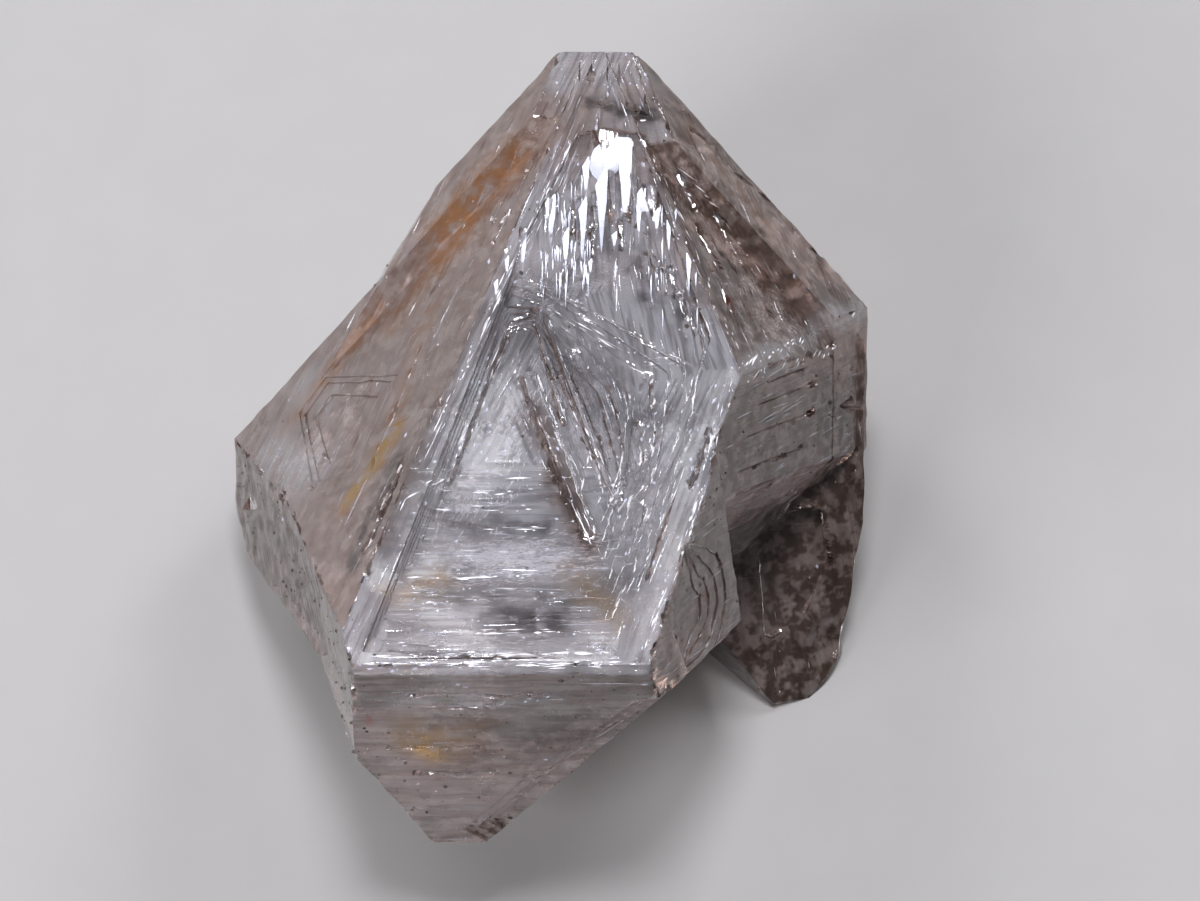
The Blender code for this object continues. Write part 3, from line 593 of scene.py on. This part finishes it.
def quartzMaterial():
    material, tree = newMaterial("quartz_natural_growth_faces")
    look = {}
    for name in marks:
        look[name] = node(tree, "ShaderNodeAttribute", {"attribute_name": name}).outputs["Fac"]
    streak = node(tree, "ShaderNodeAttribute", {"attribute_name": "streak"}).outputs["Vector"]
    place = node(tree, "ShaderNodeTexCoord").outputs["Object"]
    noise = {}
    for name, (spacing, stretch, detail) in patterns.items():
        if stretch:  # drawn out along the growth lines, which the streak attribute gives in mm
            run = node(tree, "ShaderNodeMapping", None, {
                "Vector": streak, "Scale": (1 / spacing, 1 / spacing / stretch, quartz["layering"])})
            noise[name] = node(tree, "ShaderNodeTexNoise", None, {
                "Vector": run, "Scale": 1.0, "Detail": detail})
        else:
            noise[name] = node(tree, "ShaderNodeTexNoise", None, {
                "Vector": place, "Scale": 1 / (spacing * metresPerMm), "Detail": detail,
                "Roughness": quartz["raggedness"]})
    colour = linear(quartz["clear"])
    for name, pattern, start, full, amount, hexColour in colourLayers:
        shows = node(tree, "ShaderNodeMapRange", None, {
            "Value": noise[pattern], "From Min": start, "From Max": full, "To Max": amount})
        share = node(tree, "ShaderNodeMath", {"operation": "MULTIPLY"}, {0: look[name], 1: shows})
        colour = node(tree, "ShaderNodeMix", {"data_type": "RGBA"}, {
            0: share, 6: colour, 7: linear(hexColour)})
    uneven = node(tree, "ShaderNodeMapRange", None, {
        "Value": noise["cloud"], "From Min": quartz["frostedFrom"][0], "From Max": quartz["frostedFrom"][1]})
    frosted = node(tree, "ShaderNodeMath", {"operation": "MULTIPLY"}, {0: look["frostAndHighlight"], 1: uneven})
    roughness = node(tree, "ShaderNodeMapRange", None, {
        "Value": frosted, "To Min": quartz["smooth"], "To Max": quartz["etched"]})
    # growth steps: the slow patterns cut into terraces, whose edges are the fine bright lines of a grown face
    height = noise["fine"]
    for pattern, rise, weight in quartz["terraces"]:
        stepped = node(tree, "ShaderNodeMath", {"operation": "SNAP"}, {0: noise[pattern], 1: rise})
        height = node(tree, "ShaderNodeMath", {"operation": "MULTIPLY_ADD"}, {
            0: stepped, 1: weight, 2: height})
    striae = node(tree, "ShaderNodeBump", None, {
        "Height": height, "Strength": look["lined"], "Distance": quartz["lineBumpMm"] * metresPerMm})
    etched = node(tree, "ShaderNodeBump", None, {
        "Height": noise["grain"], "Strength": look["frostAndHighlight"],
        "Distance": quartz["grainBumpMm"] * metresPerMm, "Normal": striae})
    shader = node(tree, "ShaderNodeBsdfPrincipled", None, {
        "Base Color": colour, "Roughness": roughness, "IOR": quartz["ior"],
        "Transmission Weight": quartz["transmission"], "Coat Weight": quartz["wetLook"],
        "Coat Roughness": quartz["skinRoughness"], "Coat IOR": quartz["ior"],
        "Normal": etched, "Coat Normal": striae})
    inside = node(tree, "ShaderNodeVolumeAbsorption", None, {
        "Color": linear(quartz["absorbed"]), "Density": quartz["absorbedPerMetre"]})
    node(tree, "ShaderNodeOutputMaterial", None, {"Surface": shader, "Volume": inside})
    return material


finishes = {
    # facets that grew last and were never etched: smooth, so they mirror the lamps softly
    "quartz_polished_facets": dict(colours=("#d4d6e4", "#a2a4b4"), patchMm=0.5, roughness=(0.18, 0.34),
                                   transmission=0.4, ior=1.544, shine=0.08),
    # broken edges, and bubbles in healed cracks: many small walls scatter the light, so they look white;
    # along the step edges this white is also a painted highlight
    "quartz_milky_veil_and_highlight": dict(colours=("#ffffff", "#e4e0ea"), patchMm=0.6, roughness=(0.3, 0.6),
                              transmission=0.2, ior=1.544, shine=0.5),
    # a fine earthy crust that water left behind: dull and nearly black
    "manganese_oxide_grains": dict(colours=("#14100e", "#3a2c24"), patchMm=0.4, roughness=(0.35, 0.7),
                                   transmission=0.0, ior=1.5, shine=0.5),
    # uncoated paper: even and matt
    "matt_paper_backdrop": dict(colours=("#8b8987",), patchMm=5, roughness=(0.85, 0.95),
                                transmission=0.0, ior=1.5, shine=0.5),
}


def finishMaterial(name):
    # one even colour or two in patches, with roughness that wanders from patch to patch
    finish = finishes[name]
    material, tree = newMaterial(name)
    place = node(tree, "ShaderNodeTexCoord").outputs["Object"]
    patches = node(tree, "ShaderNodeTexNoise", None, {
        "Vector": place, "Scale": 1 / (finish["patchMm"] * metresPerMm), "Detail": 2.0})
    colours = [linear(hexColour) for hexColour in finish["colours"]]
    colour = colours[0]
    if len(colours) == 2:
        colour = node(tree, "ShaderNodeMix", {"data_type": "RGBA"}, {
            0: patches, 6: colours[0], 7: colours[1]})
    low, high = finish["roughness"]  # the noise keeps mostly between 0.3 and 0.7
    gloss = node(tree, "ShaderNodeMapRange", None, {
        "Value": patches, "From Min": 0.3, "From Max": 0.7, "To Min": low, "To Max": high})
    shader = node(tree, "ShaderNodeBsdfPrincipled", None, {
        "Base Color": colour, "Roughness": gloss, "IOR": finish["ior"],
        "Transmission Weight": finish["transmission"], "Specular IOR Level": finish["shine"]})
    node(tree, "ShaderNodeOutputMaterial", None, {"Surface": shader})
    return material


bodyMesh.materials.append(quartzMaterial())
polished = finishMaterial("quartz_polished_facets")
milkyQuartzAndHighlight = finishMaterial("quartz_milky_veil_and_highlight")
manganese = finishMaterial("manganese_oxide_grains")
print("materials made")


def strewTree(name, sides, rings):
    # a node tree that lays a small faceted grain at every point, turned and sized as the point says
    tree = bpy.data.node_groups.new(name, "GeometryNodeTree")
    for label, kind, value in (("Places", "NodeSocketGeometry", None), ("Sides", "NodeSocketInt", sides),
                               ("Rings", "NodeSocketInt", rings), ("Spread", "NodeSocketFloat", 0.25),
                               ("Seed", "NodeSocketInt", 4), ("Material", "NodeSocketMaterial", None)):
        socket = tree.interface.new_socket(label, in_out="INPUT", socket_type=kind)
        if value is not None:
            socket.default_value = value
    tree.interface.new_socket("Mesh", in_out="OUTPUT", socket_type="NodeSocketGeometry")
    given = node(tree, "NodeGroupInput").outputs
    turn = node(tree, "GeometryNodeInputNamedAttribute", {"data_type": "FLOAT_VECTOR"}, {"Name": "turn"})
    size = node(tree, "GeometryNodeInputNamedAttribute", {"data_type": "FLOAT_VECTOR"}, {"Name": "size"})
    low = node(tree, "ShaderNodeMath", {"operation": "SUBTRACT"}, {0: 1.0, 1: given["Spread"]})
    high = node(tree, "ShaderNodeMath", {"operation": "ADD"}, {0: 1.0, 1: given["Spread"]})
    vary = node(tree, "FunctionNodeRandomValue", {"data_type": "FLOAT"}, {
        2: low.outputs[0], 3: high.outputs[0], "Seed": given["Seed"]})
    scale = node(tree, "ShaderNodeVectorMath", {"operation": "SCALE"}, {
        0: size.outputs[0], "Scale": vary.outputs[1]})
    grain = node(tree, "GeometryNodeMeshUVSphere", None, {
        "Segments": given["Sides"], "Rings": given["Rings"], "Radius": 1.0})
    laid = node(tree, "GeometryNodeInstanceOnPoints", None, {
        "Points": given["Places"], "Instance": grain.outputs[0], "Rotation": turn.outputs[0],
        "Scale": scale.outputs[0]})
    real = node(tree, "GeometryNodeRealizeInstances", None, {"Geometry": laid.outputs[0]})
    flat = node(tree, "GeometryNodeSetShadeSmooth", None, {
        "Geometry": real.outputs[0], "Shade Smooth": False})
    done = node(tree, "GeometryNodeSetMaterial", None, {
        "Geometry": flat.outputs[0], "Material": given["Material"]})
    node(tree, "NodeGroupOutput", None, {0: done.outputs[0]})
    return tree


def strewn(name, places, turns, sizes, material, sides=4, rings=2, spread=0.0, seed=4):
    # places in metres, turns as euler angles, sizes as half-extents in metres
    mesh = bpy.data.meshes.new(name)
    mesh.from_pydata(places, [], [])
    stored(mesh, "turn", "FLOAT_VECTOR", "POINT", turns)
    stored(mesh, "size", "FLOAT_VECTOR", "POINT", sizes)
    piece = linked(name, mesh)
    tree = strewTree(name + "_tree", sides, rings)
    grow = piece.modifiers.new("grow", "NODES")
    grow.node_group = tree
    wanted = {"Sides": sides, "Rings": rings, "Spread": spread, "Seed": seed, "Material": material}
    for item in tree.interface.items_tree:
        if item.in_out == "INPUT" and item.name in wanted:
            grow[item.identifier] = wanted[item.name]
    ready = piece.evaluated_get(bpy.context.evaluated_depsgraph_get())
    piece.data = bpy.data.meshes.new_from_object(ready)
    piece.modifiers.clear()
    piece.data.name = name
    bpy.data.meshes.remove(mesh)
    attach(piece, "root")
    print(name + ":", len(places), "pieces,", len(piece.data.polygons), "faces")


def turnOf(along, up):
    # euler angles that lay a grain's x along one way and its z along another
    out = []
    for x, z in zip(along, up):
        x, z = Vector(x).normalized(), Vector(z)
        z = (z - x * z.dot(x)).normalized()
        y = z.cross(x)
        out.append(Matrix((x, y, z)).transposed().to_euler())
    return np.array(out)


areas = np.linalg.norm(np.cross(corners[:, 1] - corners[:, 0], corners[:, 2] - corners[:, 0]), axis=1) / 2
faceStain = {name: values[tris].mean(axis=1) for name, values in stain.items()}
skyMm = 32.0  # a height well above the crystal, to look down from


def chosenSpots(count, weight):
    # random places on the surface, more of them where the weight is high
    share = areas * weight
    faces = dice.choice(len(tris), size=count, p=share / share.sum())
    mix = dice.dirichlet((1, 1, 1), count)
    return faces, (corners[faces] * mix[:, :, None]).sum(axis=1)


def isAny(names):
    # which triangles belong to any of these families of faces
    return np.isin(kind, [numberOf[name] for name in names])


def sizeBetween(least, most, count=None):
    # random sizes, evenly spread by ratio, so that small ones are as common as large ones
    return least * (most / least) ** dice.random(count)


def seenFromAbove(x, y):
    # the place on the crystal straight below, and the way its surface looks there
    place, normal, _, _ = surface.ray_cast(metres(x, y, skyMm), Vector((0, 0, -1)))
    return place, normal


growthLines = {
    "count": 1100,
    "halfWidthMm": (0.03, 0.09),
    "riseShare": (0.12, 0.7),   # how high one stands above its face, in half widths
    "lean": 8,                  # degrees that a line may roll over
    "stray": 0.03,              # how far one may turn from the way the face grew
    "tries": 3,                 # a line that runs off its face is tried again at half the length
    "nearMm": 0.12,             # an end this near the surface
    "sameFace": 0.95,           # that looks this much the same way is on the face still (cosine)
}


def fits(spot, way, up, half):
    # whether both ends of a growth line still lie on the same face; spot and half are in mm
    for sign in (-1, 1):
        end = Vector((spot + sign * half * way + zeroPoint)) * metresPerMm
        _, normal, _, _ = surface.find_nearest(end, growthLines["nearMm"] * metresPerMm)
        if normal is None or normal.dot(Vector(up)) < growthLines["sameFace"]:
            return False
    return True


def layGrowthLines():
    density = np.array([habit["lines"] for habit in habits.values()])[kind]
    faces, spots = chosenSpots(growthLines["count"], density)
    places, ways, ups, sizes = [], [], [], []
    for face, spot in zip(faces, spots):
        half = sizeBetween(*habits[habitNames[kind[face]]]["longMm"]) / 2
        width = dice.uniform(*growthLines["halfWidthMm"])
        height = width * dice.uniform(*growthLines["riseShare"])
        roll = math.radians(dice.uniform(-1, 1) * growthLines["lean"])
        way, up = along[face], flatNormals[face]
        way = way + np.cross(up, way) * dice.normal(0, growthLines["stray"])
        for _ in range(growthLines["tries"]):
            if fits(spot, way, up, half):
                places.append((spot + zeroPoint) * metresPerMm)
                ways.append(way)
                ups.append(up * math.cos(roll) + np.cross(up, way) * math.sin(roll))
                # short lines are finer and lower
                sizes.append((half, width * min(1, 0.4 + half / 2), height * min(1, 0.5 + half / 3)))
                break
            half *= 0.5
    strewn("growth_lines", places, turnOf(ways, ups), np.array(sizes) * metresPerMm,
           bodyMesh.materials[0])


glints = {
    # small facets that catch the lamps
    "count": 500,
    "sizeMm": (0.03, 0.11),
    "longTimes": (1, 2.4),
    "thickShare": 0.3,
    "lean": 0.35,              # how far they lean out of the face, as a share of its normal
    "turn": 0.2,               # how far they turn out of its growth direction
    "everywhere": 0.006,       # how thickly they lie on any face
    "onTop": 0.12,             # on the hopper face and the base rim besides
    "onFrost": (1.2, 0.1),     # on frost there, and on frost elsewhere
    "spread": 0.3,
}


def layGlints():
    onTop = isAny(("window", "baseRim"))
    weight = glints["everywhere"] + glints["onTop"] * onTop
    weight += faceStain["frostAndHighlight"] ** 3 * np.where(onTop, *glints["onFrost"])
    faces, spots = chosenSpots(glints["count"], weight * (flatNormals[:, 2] > 0))
    sizes = dice.uniform(*glints["sizeMm"], len(faces))
    long = sizes * dice.uniform(*glints["longTimes"], len(faces))
    shape = np.stack([long, sizes, sizes * glints["thickShare"]], axis=1)
    ups = flatNormals[faces] + dice.normal(0, glints["lean"], (len(faces), 3))
    ways = along[faces] + dice.normal(0, glints["turn"], (len(faces), 3))
    strewn("glints", (spots + zeroPoint) * metresPerMm, turnOf(ways, ups), shape * metresPerMm,
           polished, spread=glints["spread"])


grains = {
    "count": 2200,
    "sizeMm": (0.03, 0.17),
    "unevenness": (0.6, 1.5),  # each side of a grain in shares of its size
    "lean": 0.5,
    "sunkShare": 0.75,         # of the size
    "everywhere": 0.06,        # how thickly they lie on any face
    "onSides": 0.5,            # on the front and the steep sides besides, and more where it is smoky
    "fromZMm": 0.4,            # none on the face it rests on
    "sides": 5,
    "rings": 3,
    "spread": 0.3,
}


def layGrains():
    onSides = isAny(("front", "leftPrism", "other", "recess"))
    weight = grains["everywhere"] + onSides * (grains["onSides"] + faceStain["smokeAndShade"])
    clearOfFoot = corners[:, :, 2].min(axis=1) > grains["fromZMm"]
    faces, spots = chosenSpots(grains["count"], weight * clearOfFoot)
    sizes = sizeBetween(*grains["sizeMm"], len(faces))
    shape = sizes[:, None] * dice.uniform(*grains["unevenness"], (len(faces), 3))
    ups = flatNormals[faces] + dice.normal(0, grains["lean"], (len(faces), 3))
    sunk = spots - flatNormals[faces] * sizes[:, None] * grains["sunkShare"]
    strewn("manganese_grains", (sunk + zeroPoint) * metresPerMm, turnOf(along[faces], ups),
           shape * metresPerMm, manganese, grains["sides"], grains["rings"], grains["spread"])


hillocks = {
    # glossy growth hillocks below the summit, which mirror the sky: x, top y, bottom y, width (mm)
    "large": [
        (1.7, 11.9, 4.2, 0.95), (0.1, 9.6, 3.6, 0.85), (-0.95, 10.9, 7.5, 0.5), (-1.15, 7.5, 3.0, 0.6),
        (-3.3, 7.9, 4.1, 0.7), (-5.15, 5.3, 1.9, 0.5), (-6.9, 1.3, -0.2, 0.3), (3.8, 7.0, 5.0, 0.45),
        (-2.3, 5.3, 2.1, 0.5), (0.95, 5.2, 3.8, 0.4), (-0.65, 3.1, 1.7, 0.28), (-2.8, 4.1, 2.6, 0.25),
        (-6.2, 3.1, 1.5, 0.3), (2.6, 7.2, 4.4, 0.35), (4.6, 6.0, 3.0, 0.3), (5.9, 3.2, 0.4, 0.35),
    ],
    "broad": [(0.75, 12.3, 9.2, 3.0), (3.0, 8.7, 5.9, 1.5)],
    "fields": [  # left and right edge, lowest and highest top, shortest and longest (mm), how many
        (-4.2, -0.6, 1.2, 4.8, 0.6, 1.9, 55), (-2.8, -0.9, 6.0, 10.0, 0.8, 2.2, 18),
        (3.0, 6.8, -1.5, 7.5, 0.8, 2.4, 14),
    ],
    "fieldWidthMm": (0.05, 0.13),
    "lean": (11, 17),        # degrees towards the front, at the top end
    "footLean": 4,           # and at the tip
    "sunk": 0.12,            # how deep the tip lies under the face, as a share of length times lean
    "crown": 0.02,           # how much lower the edges are than the middle, in widths
    "unevenMm": 0.004,
    "rootMm": 0.5,           # how deep the sides go down into the crystal
    "mirroredBelowMm": 0.5,  # narrower ones may be turned left to right
    # outlines in rows from the tip up: share of the length, left and right edge in shares of the width
    "fin": [(0, -0.02, 0.02), (0.12, -0.1, 0.1), (0.35, -0.2, 0.22), (0.6, -0.32, 0.4),
            (0.8, -0.5, 0.46), (0.9, -0.1, 0.5), (1, 0.3, 0.45)],
    "shield": [(0, -0.3, -0.1), (0.14, -0.42, 0.08), (0.32, -0.5, 0.2), (0.55, -0.46, 0.36),
               (0.75, -0.38, 0.5), (0.9, -0.2, 0.5), (1, 0, 0.4)],
}


def hillockPlaces():
    spots = [(*numbers, "fin") for numbers in hillocks["large"]]
    spots += [(*numbers, "shield") for numbers in hillocks["broad"]]
    for left, right, low, high, short, long, count in hillocks["fields"]:
        for top in dice.uniform(low, high, count):
            width = dice.uniform(*hillocks["fieldWidthMm"])
            spots.append((dice.uniform(left, right), top, top - dice.uniform(short, long), width, "fin"))
    return spots


def hillockPoints(x, top, bottom, width, rows):
    # three points to a row over the top, then two to a row down in the crystal
    length = top - bottom
    mirrored = dice.choice((-1, 1)) if width < hillocks["mirroredBelowMm"] else 1
    lean = math.tan(math.radians(dice.uniform(*hillocks["lean"])))
    foot = math.tan(math.radians(hillocks["footLean"]))
    level = seenFromAbove(x, (top + bottom) / 2)[0].z / metresPerMm
    points = []
    for v, left, right in rows:
        # the top steepens from the tip upwards, so that it catches the sky more and more
        rise = foot * v + (lean - foot) * v * v / 2 - hillocks["sunk"] * lean
        z = level + length * rise + dice.normal(0, hillocks["unevenMm"])
        for u in (left, (left + right) / 2, right):
            lower = hillocks["crown"] * width * abs(u * 2 - left - right)
            points.append(metres(x + u * width * mirrored, bottom + v * length, z - lower))
    for v, left, right in rows:
        for u in (left, right):
            points.append(metres(x + u * width * mirrored, bottom + v * length, level - hillocks["rootMm"]))
    return points


def hillockFaces(first, size):
    # first is the number of its first point, size the number of rows
    base = first + 3 * size
    faces = []
    for k in range(size - 1):
        low, high = first + 3 * k, first + 3 * k + 3
        under, over = base + 2 * k, base + 2 * k + 2
        faces += [[low, low + 1, high + 1, high], [low + 1, low + 2, high + 2, high + 1]]
        faces += [[under, over, over + 1, under + 1]]
        faces += [[low, high, over, under], [high + 2, low + 2, under + 1, over + 1]]
    tip, end = first, first + 3 * size - 3
    faces += [[tip + 1, tip, base, base + 1, tip + 2]]
    faces += [[end, end + 1, end + 2, base + 2 * size - 1, base + 2 * size - 2]]
    return faces


def layHillocks():
    vertices, faces = [], []
    spots = hillockPlaces()
    for *numbers, outline in spots:
        rows = hillocks[outline]
        faces += hillockFaces(len(vertices), len(rows))
        vertices += hillockPoints(*numbers, rows)
    mesh = bpy.data.meshes.new("growth_hillocks")
    mesh.from_pydata(vertices, [], faces)
    mesh.materials.append(polished)
    piece = linked("growth_hillocks", mesh)
    bm = bmesh.new()
    bm.from_mesh(mesh)
    bmesh.ops.recalc_face_normals(bm, faces=bm.faces)
    bm.to_mesh(mesh)
    bm.free()
    mesh.shade_smooth()
    mesh.set_sharp_from_angle(angle=math.radians(crystal["sharpFrom"]))
    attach(piece, "root")
    print("growth_hillocks:", len(spots), "hillocks")


veils = {
    # healed cracks inside, seen as wisps: centre, two half-widths along two ways (mm), number of bubbles
    "cracks": [
        ((-7.5, -10, 22.6), (2.2, 5.5, 0.8), (2.6, -0.9, 0.4), 900),
        ((-1.0, -6.0, 19.5), (1.6, -5.0, 0.6), (1.8, 0.6, 1.5), 800),
        ((-5.5, -18.5, 23.4), (5.5, 0.3, 0.2), (0.5, 1.8, -0.6), 900),
        ((3.0, -12.0, 21.0), (0.8, 4.5, 1.0), (1.6, -0.3, 1.4), 700),
        ((-2.0, 3.0, 22.0), (3.0, 1.0, 0.6), (0.5, 2.5, -1.0), 600),
        ((-9.0, -25.5, 21.0), (4.0, 0.2, 1.0), (0.3, 1.2, 1.8), 500),
        ((10.0, 2.0, 18.5), (3.0, -2.0, 0.6), (1.0, 2.0, -0.4), 450),
        ((-17.0, -5.0, 12.5), (2.0, 3.0, 1.0), (1.5, -1.0, 0.6), 450),
    ],
    "gathered": 0.5,            # how far the bubbles spread from the middle of a crack, in half-widths
    "curl": (0.35, 0.8, 31, 30),  # how the crack bends: mm, bumps to the mm, seed, distance between fields
    "underMm": 0.35,            # least depth under the surface
    "sizeMm": (0.05, 0.16),
    "shape": (4, 0.45, 0.15),   # longest, wide and thick, in shares of the size
    "turn": 0.12,               # how far a bubble turns out of the crack's long way
    "lean": 0.8,                # and leans out of its plane, as a share of its normal
    "spread": 0.3,
}


def layVeils():
    places, ways, ups = [], [], []
    for centre, wide, tall, count in veils["cracks"]:
        u, v = dice.normal(0, veils["gathered"], count), dice.normal(0, veils["gathered"], count)
        spots = np.array(centre) + u[:, None] * np.array(wide) + v[:, None] * np.array(tall)
        spots += nudges(spots, *veils["curl"])
        for spot in spots:
            place = Vector(spot + zeroPoint) * metresPerMm
            near, normal, _, distance = surface.find_nearest(place)
            if (near - place).dot(normal) > 0 and distance > veils["underMm"] * metresPerMm:
                places.append((spot + zeroPoint) * metresPerMm)
                ways.append(np.array(wide) / np.linalg.norm(wide) + dice.normal(0, veils["turn"], 3))
                ups.append(np.cross(wide, tall) + dice.normal(0, veils["lean"], 3))
    sizes = dice.uniform(*veils["sizeMm"], len(places))
    longest, wideShare, thickShare = veils["shape"]
    long = sizes * dice.uniform(1, longest, len(sizes))
    shape = np.stack([long, sizes * wideShare, sizes * thickShare], axis=1)
    strewn("veils", places, turnOf(ways, ups), shape * metresPerMm, milkyQuartzAndHighlight, spread=veils["spread"])


brokenEdgesAndHighlights = {
    # white splinters along the edges of growth steps, partly a painted highlight: they stand for the bright
    # lines that the lamps make along the step edges
    "halfLengthMm": (0.07, 0.98),
    "halfLengthShare": 0.3,    # but no more than this share of the line
    "halfWidthMm": 0.05,
    "widthTimes": (0.25, 1.25),  # each splinter's own share of that
    "widestLine": 1.4,         # a line's width counts for no more than this
    "thickShare": 0.6,
    "strayMm": 0.13,           # off the line
    "turn": 0.04,
    # from, to (mm), how wide beside the others, splinters to the mm
    "lines": [
        ((-9.1, -12.6), (-3.6, -12.5), 0.8, 1.2), ((-10.6, -13.7), (-3.4, -13.5), 1.2, 1.6),
        ((-11.4, -15.1), (-3.2, -15.0), 1.0, 1.2), ((-11.6, -16.5), (-2.6, -16.7), 0.9, 1.2),
        ((-12.4, -18.4), (-4.0, -18.2), 0.7, 0.7), ((-12.4, -20.3), (-3.6, -20.1), 1.7, 1.6),
        ((-12.8, -21.1), (-6.0, -21.0), 0.8, 0.7), ((-13.4, -22.3), (-8.0, -22.1), 1.0, 0.8),
        ((-10.4, -24.5), (-2.8, -24.3), 1.3, 2.2), ((-13.0, -25.2), (-6.0, -25.2), 0.8, 1.0),
        ((-14.8, -26.2), (0.6, -26.1), 1.9, 2.4), ((-15.4, -26.8), (2.4, -26.9), 1.8, 2.4),
        ((-6.4, -3.2), (-10.2, -13.6), 1.5, 2.2), ((-10.0, -13.2), (-12.4, -14.8), 1.6, 2.4),
        ((-2.0, -7.2), (0.1, -12.4), 1.6, 2.0), ((-0.8, -11.0), (-1.2, -13.0), 1.2, 1.6),
        ((1.4, -10.6), (1.2, -12.6), 1.7, 2.0), ((-4.9, -6.2), (-0.9, -17.0), 0.7, 1.0),
        ((-4.3, 0.2), (3.2, -4.6), 0.6, 1.6), ((3.0, -4.6), (5.2, -4.2), 0.7, 2.0),
        ((8.6, -6.0), (6.2, -15.0), 1.3, 2.4), ((6.6, -14.4), (2.9, -25.6), 1.3, 2.4),
        ((5.6, -12.0), (2.0, -22.0), 0.9, 1.4), ((-5.6, 2.4), (-11.4, -11.4), 0.8, 1.2),
        ((-2.2, 11.4), (-9.2, -5.6), 0.9, 1.2), ((-1.4, 13.0), (-14.9, -20.4), 1.0, 1.2),
        ((9.0, -5.4), (14.6, 1.6), 1.4, 2.4), ((9.4, -6.2), (16.0, 1.4), 1.2, 2.0),
        ((3.4, 12.4), (9.0, -3.6), 0.8, 1.2), ((4.6, 12.0), (14.2, 2.0), 0.7, 1.0),
    ],
}


def layBrokenEdgesAndHighlights():
    places, ways, ups, sizes = [], [], [], []
    for start, end, times, density in brokenEdgesAndHighlights["lines"]:
        start, end = np.array(start), np.array(end)
        length = np.linalg.norm(end - start)
        for share in np.sort(dice.random(int(length * density))):
            x, y = start + share * (end - start) + dice.normal(0, brokenEdgesAndHighlights["strayMm"], 2)
            near, normal = seenFromAbove(x, y)
            way = Vector((*(end - start) / length, 0)) + Vector(dice.normal(0, brokenEdgesAndHighlights["turn"], 3))
            half = min(sizeBetween(*brokenEdgesAndHighlights["halfLengthMm"]), brokenEdgesAndHighlights["halfLengthShare"] * length)
            width = brokenEdgesAndHighlights["halfWidthMm"] * min(times, brokenEdgesAndHighlights["widestLine"])
            width *= sizeBetween(*brokenEdgesAndHighlights["widthTimes"])
            places.append(near)
            ways.append(way - normal * way.dot(normal))
            ups.append(normal)
            sizes.append((half, width, width * brokenEdgesAndHighlights["thickShare"]))
    strewn("broken_edges_and_highlights", places, turnOf(ways, ups), np.array(sizes) * metresPerMm, milkyQuartzAndHighlight)


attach(body, "root")
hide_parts("crystal")
layGrowthLines()
layGlints()
layGrains()
layHillocks()
layBrokenEdgesAndHighlights()
layVeils()

studio = {
    "floorHalfMetres": 3,
    "lamps": "#f8f9ff",
    "ambient": "#d8dade",
    "ambientStrength": 0.16,
    "boxes": {  # name: azimuth, elevation (degrees; 0 is the front), distance, width (m), watts
        "keyAbove": (180, 83, 0.6, 0.15, 3.6),
        "backLeft": (140, 42, 0.7, 0.28, 2.8),
        "backRight": (-140, 42, 0.7, 0.28, 2.6),
        "frontFill": (-44, 32, 0.7, 0.3, 5.0),
    },
}
view = {"elevation": 62, "aimMm": (0, -9.9, 22.9), "distanceMm": 285, "lensMm": 129.96, "sensorMm": 36}


def direction(azimuth, elevation):
    a, e = math.radians(azimuth), math.radians(elevation)
    return Vector((math.sin(a) * math.cos(e), -math.cos(a) * math.cos(e), math.sin(e)))


reach = studio["floorHalfMetres"]
floorMesh = bpy.data.meshes.new("floor")
floorMesh.from_pydata([(-reach, -reach, 0), (reach, -reach, 0), (reach, reach, 0), (-reach, reach, 0)], [],
                      [(0, 1, 2, 3)])
floor = linked("floor", floorMesh)
floorMesh.materials.append(finishMaterial("matt_paper_backdrop"))

for name, (azimuth, elevation, distance, width, watts) in studio["boxes"].items():
    lamp = bpy.data.lights.new(name, "AREA")
    lamp.shape = "DISK"
    lamp.size = width
    lamp.energy = watts
    lamp.color = linear(studio["lamps"])[:3]
    box = linked(name, lamp)
    box.location = direction(azimuth, elevation) * distance
    box.rotation_euler = direction(azimuth, elevation).to_track_quat("Z", "Y").to_euler()

world = bpy.data.worlds.new("studio")
world.use_nodes = True
world.node_tree.nodes["Background"].inputs["Color"].default_value = linear(studio["ambient"])
world.node_tree.nodes["Background"].inputs["Strength"].default_value = studio["ambientStrength"]
bpy.context.scene.world = world
bpy.context.scene.view_settings.view_transform = "Standard"
# more bounces than these hardly show in the crystal, and cost time
bpy.context.scene.cycles.max_bounces = 6
bpy.context.scene.cycles.transmission_bounces = 5
bpy.context.scene.cycles.glossy_bounces = 2
bpy.context.scene.cycles.diffuse_bounces = 1
bpy.context.scene.cycles.volume_bounces = 0
print("studio lit")

camera = linked("camera", bpy.data.cameras.new("camera"))
camera.data.lens = view["lensMm"]
camera.data.sensor_width = view["sensorMm"]
camera.data.clip_start = 0.01
toCamera = direction(0, view["elevation"])
camera.location = metres(*view["aimMm"]) + toCamera * view["distanceMm"] * metresPerMm
camera.rotation_euler = toCamera.to_track_quat("Z", "Y").to_euler()
bpy.context.scene.camera = camera
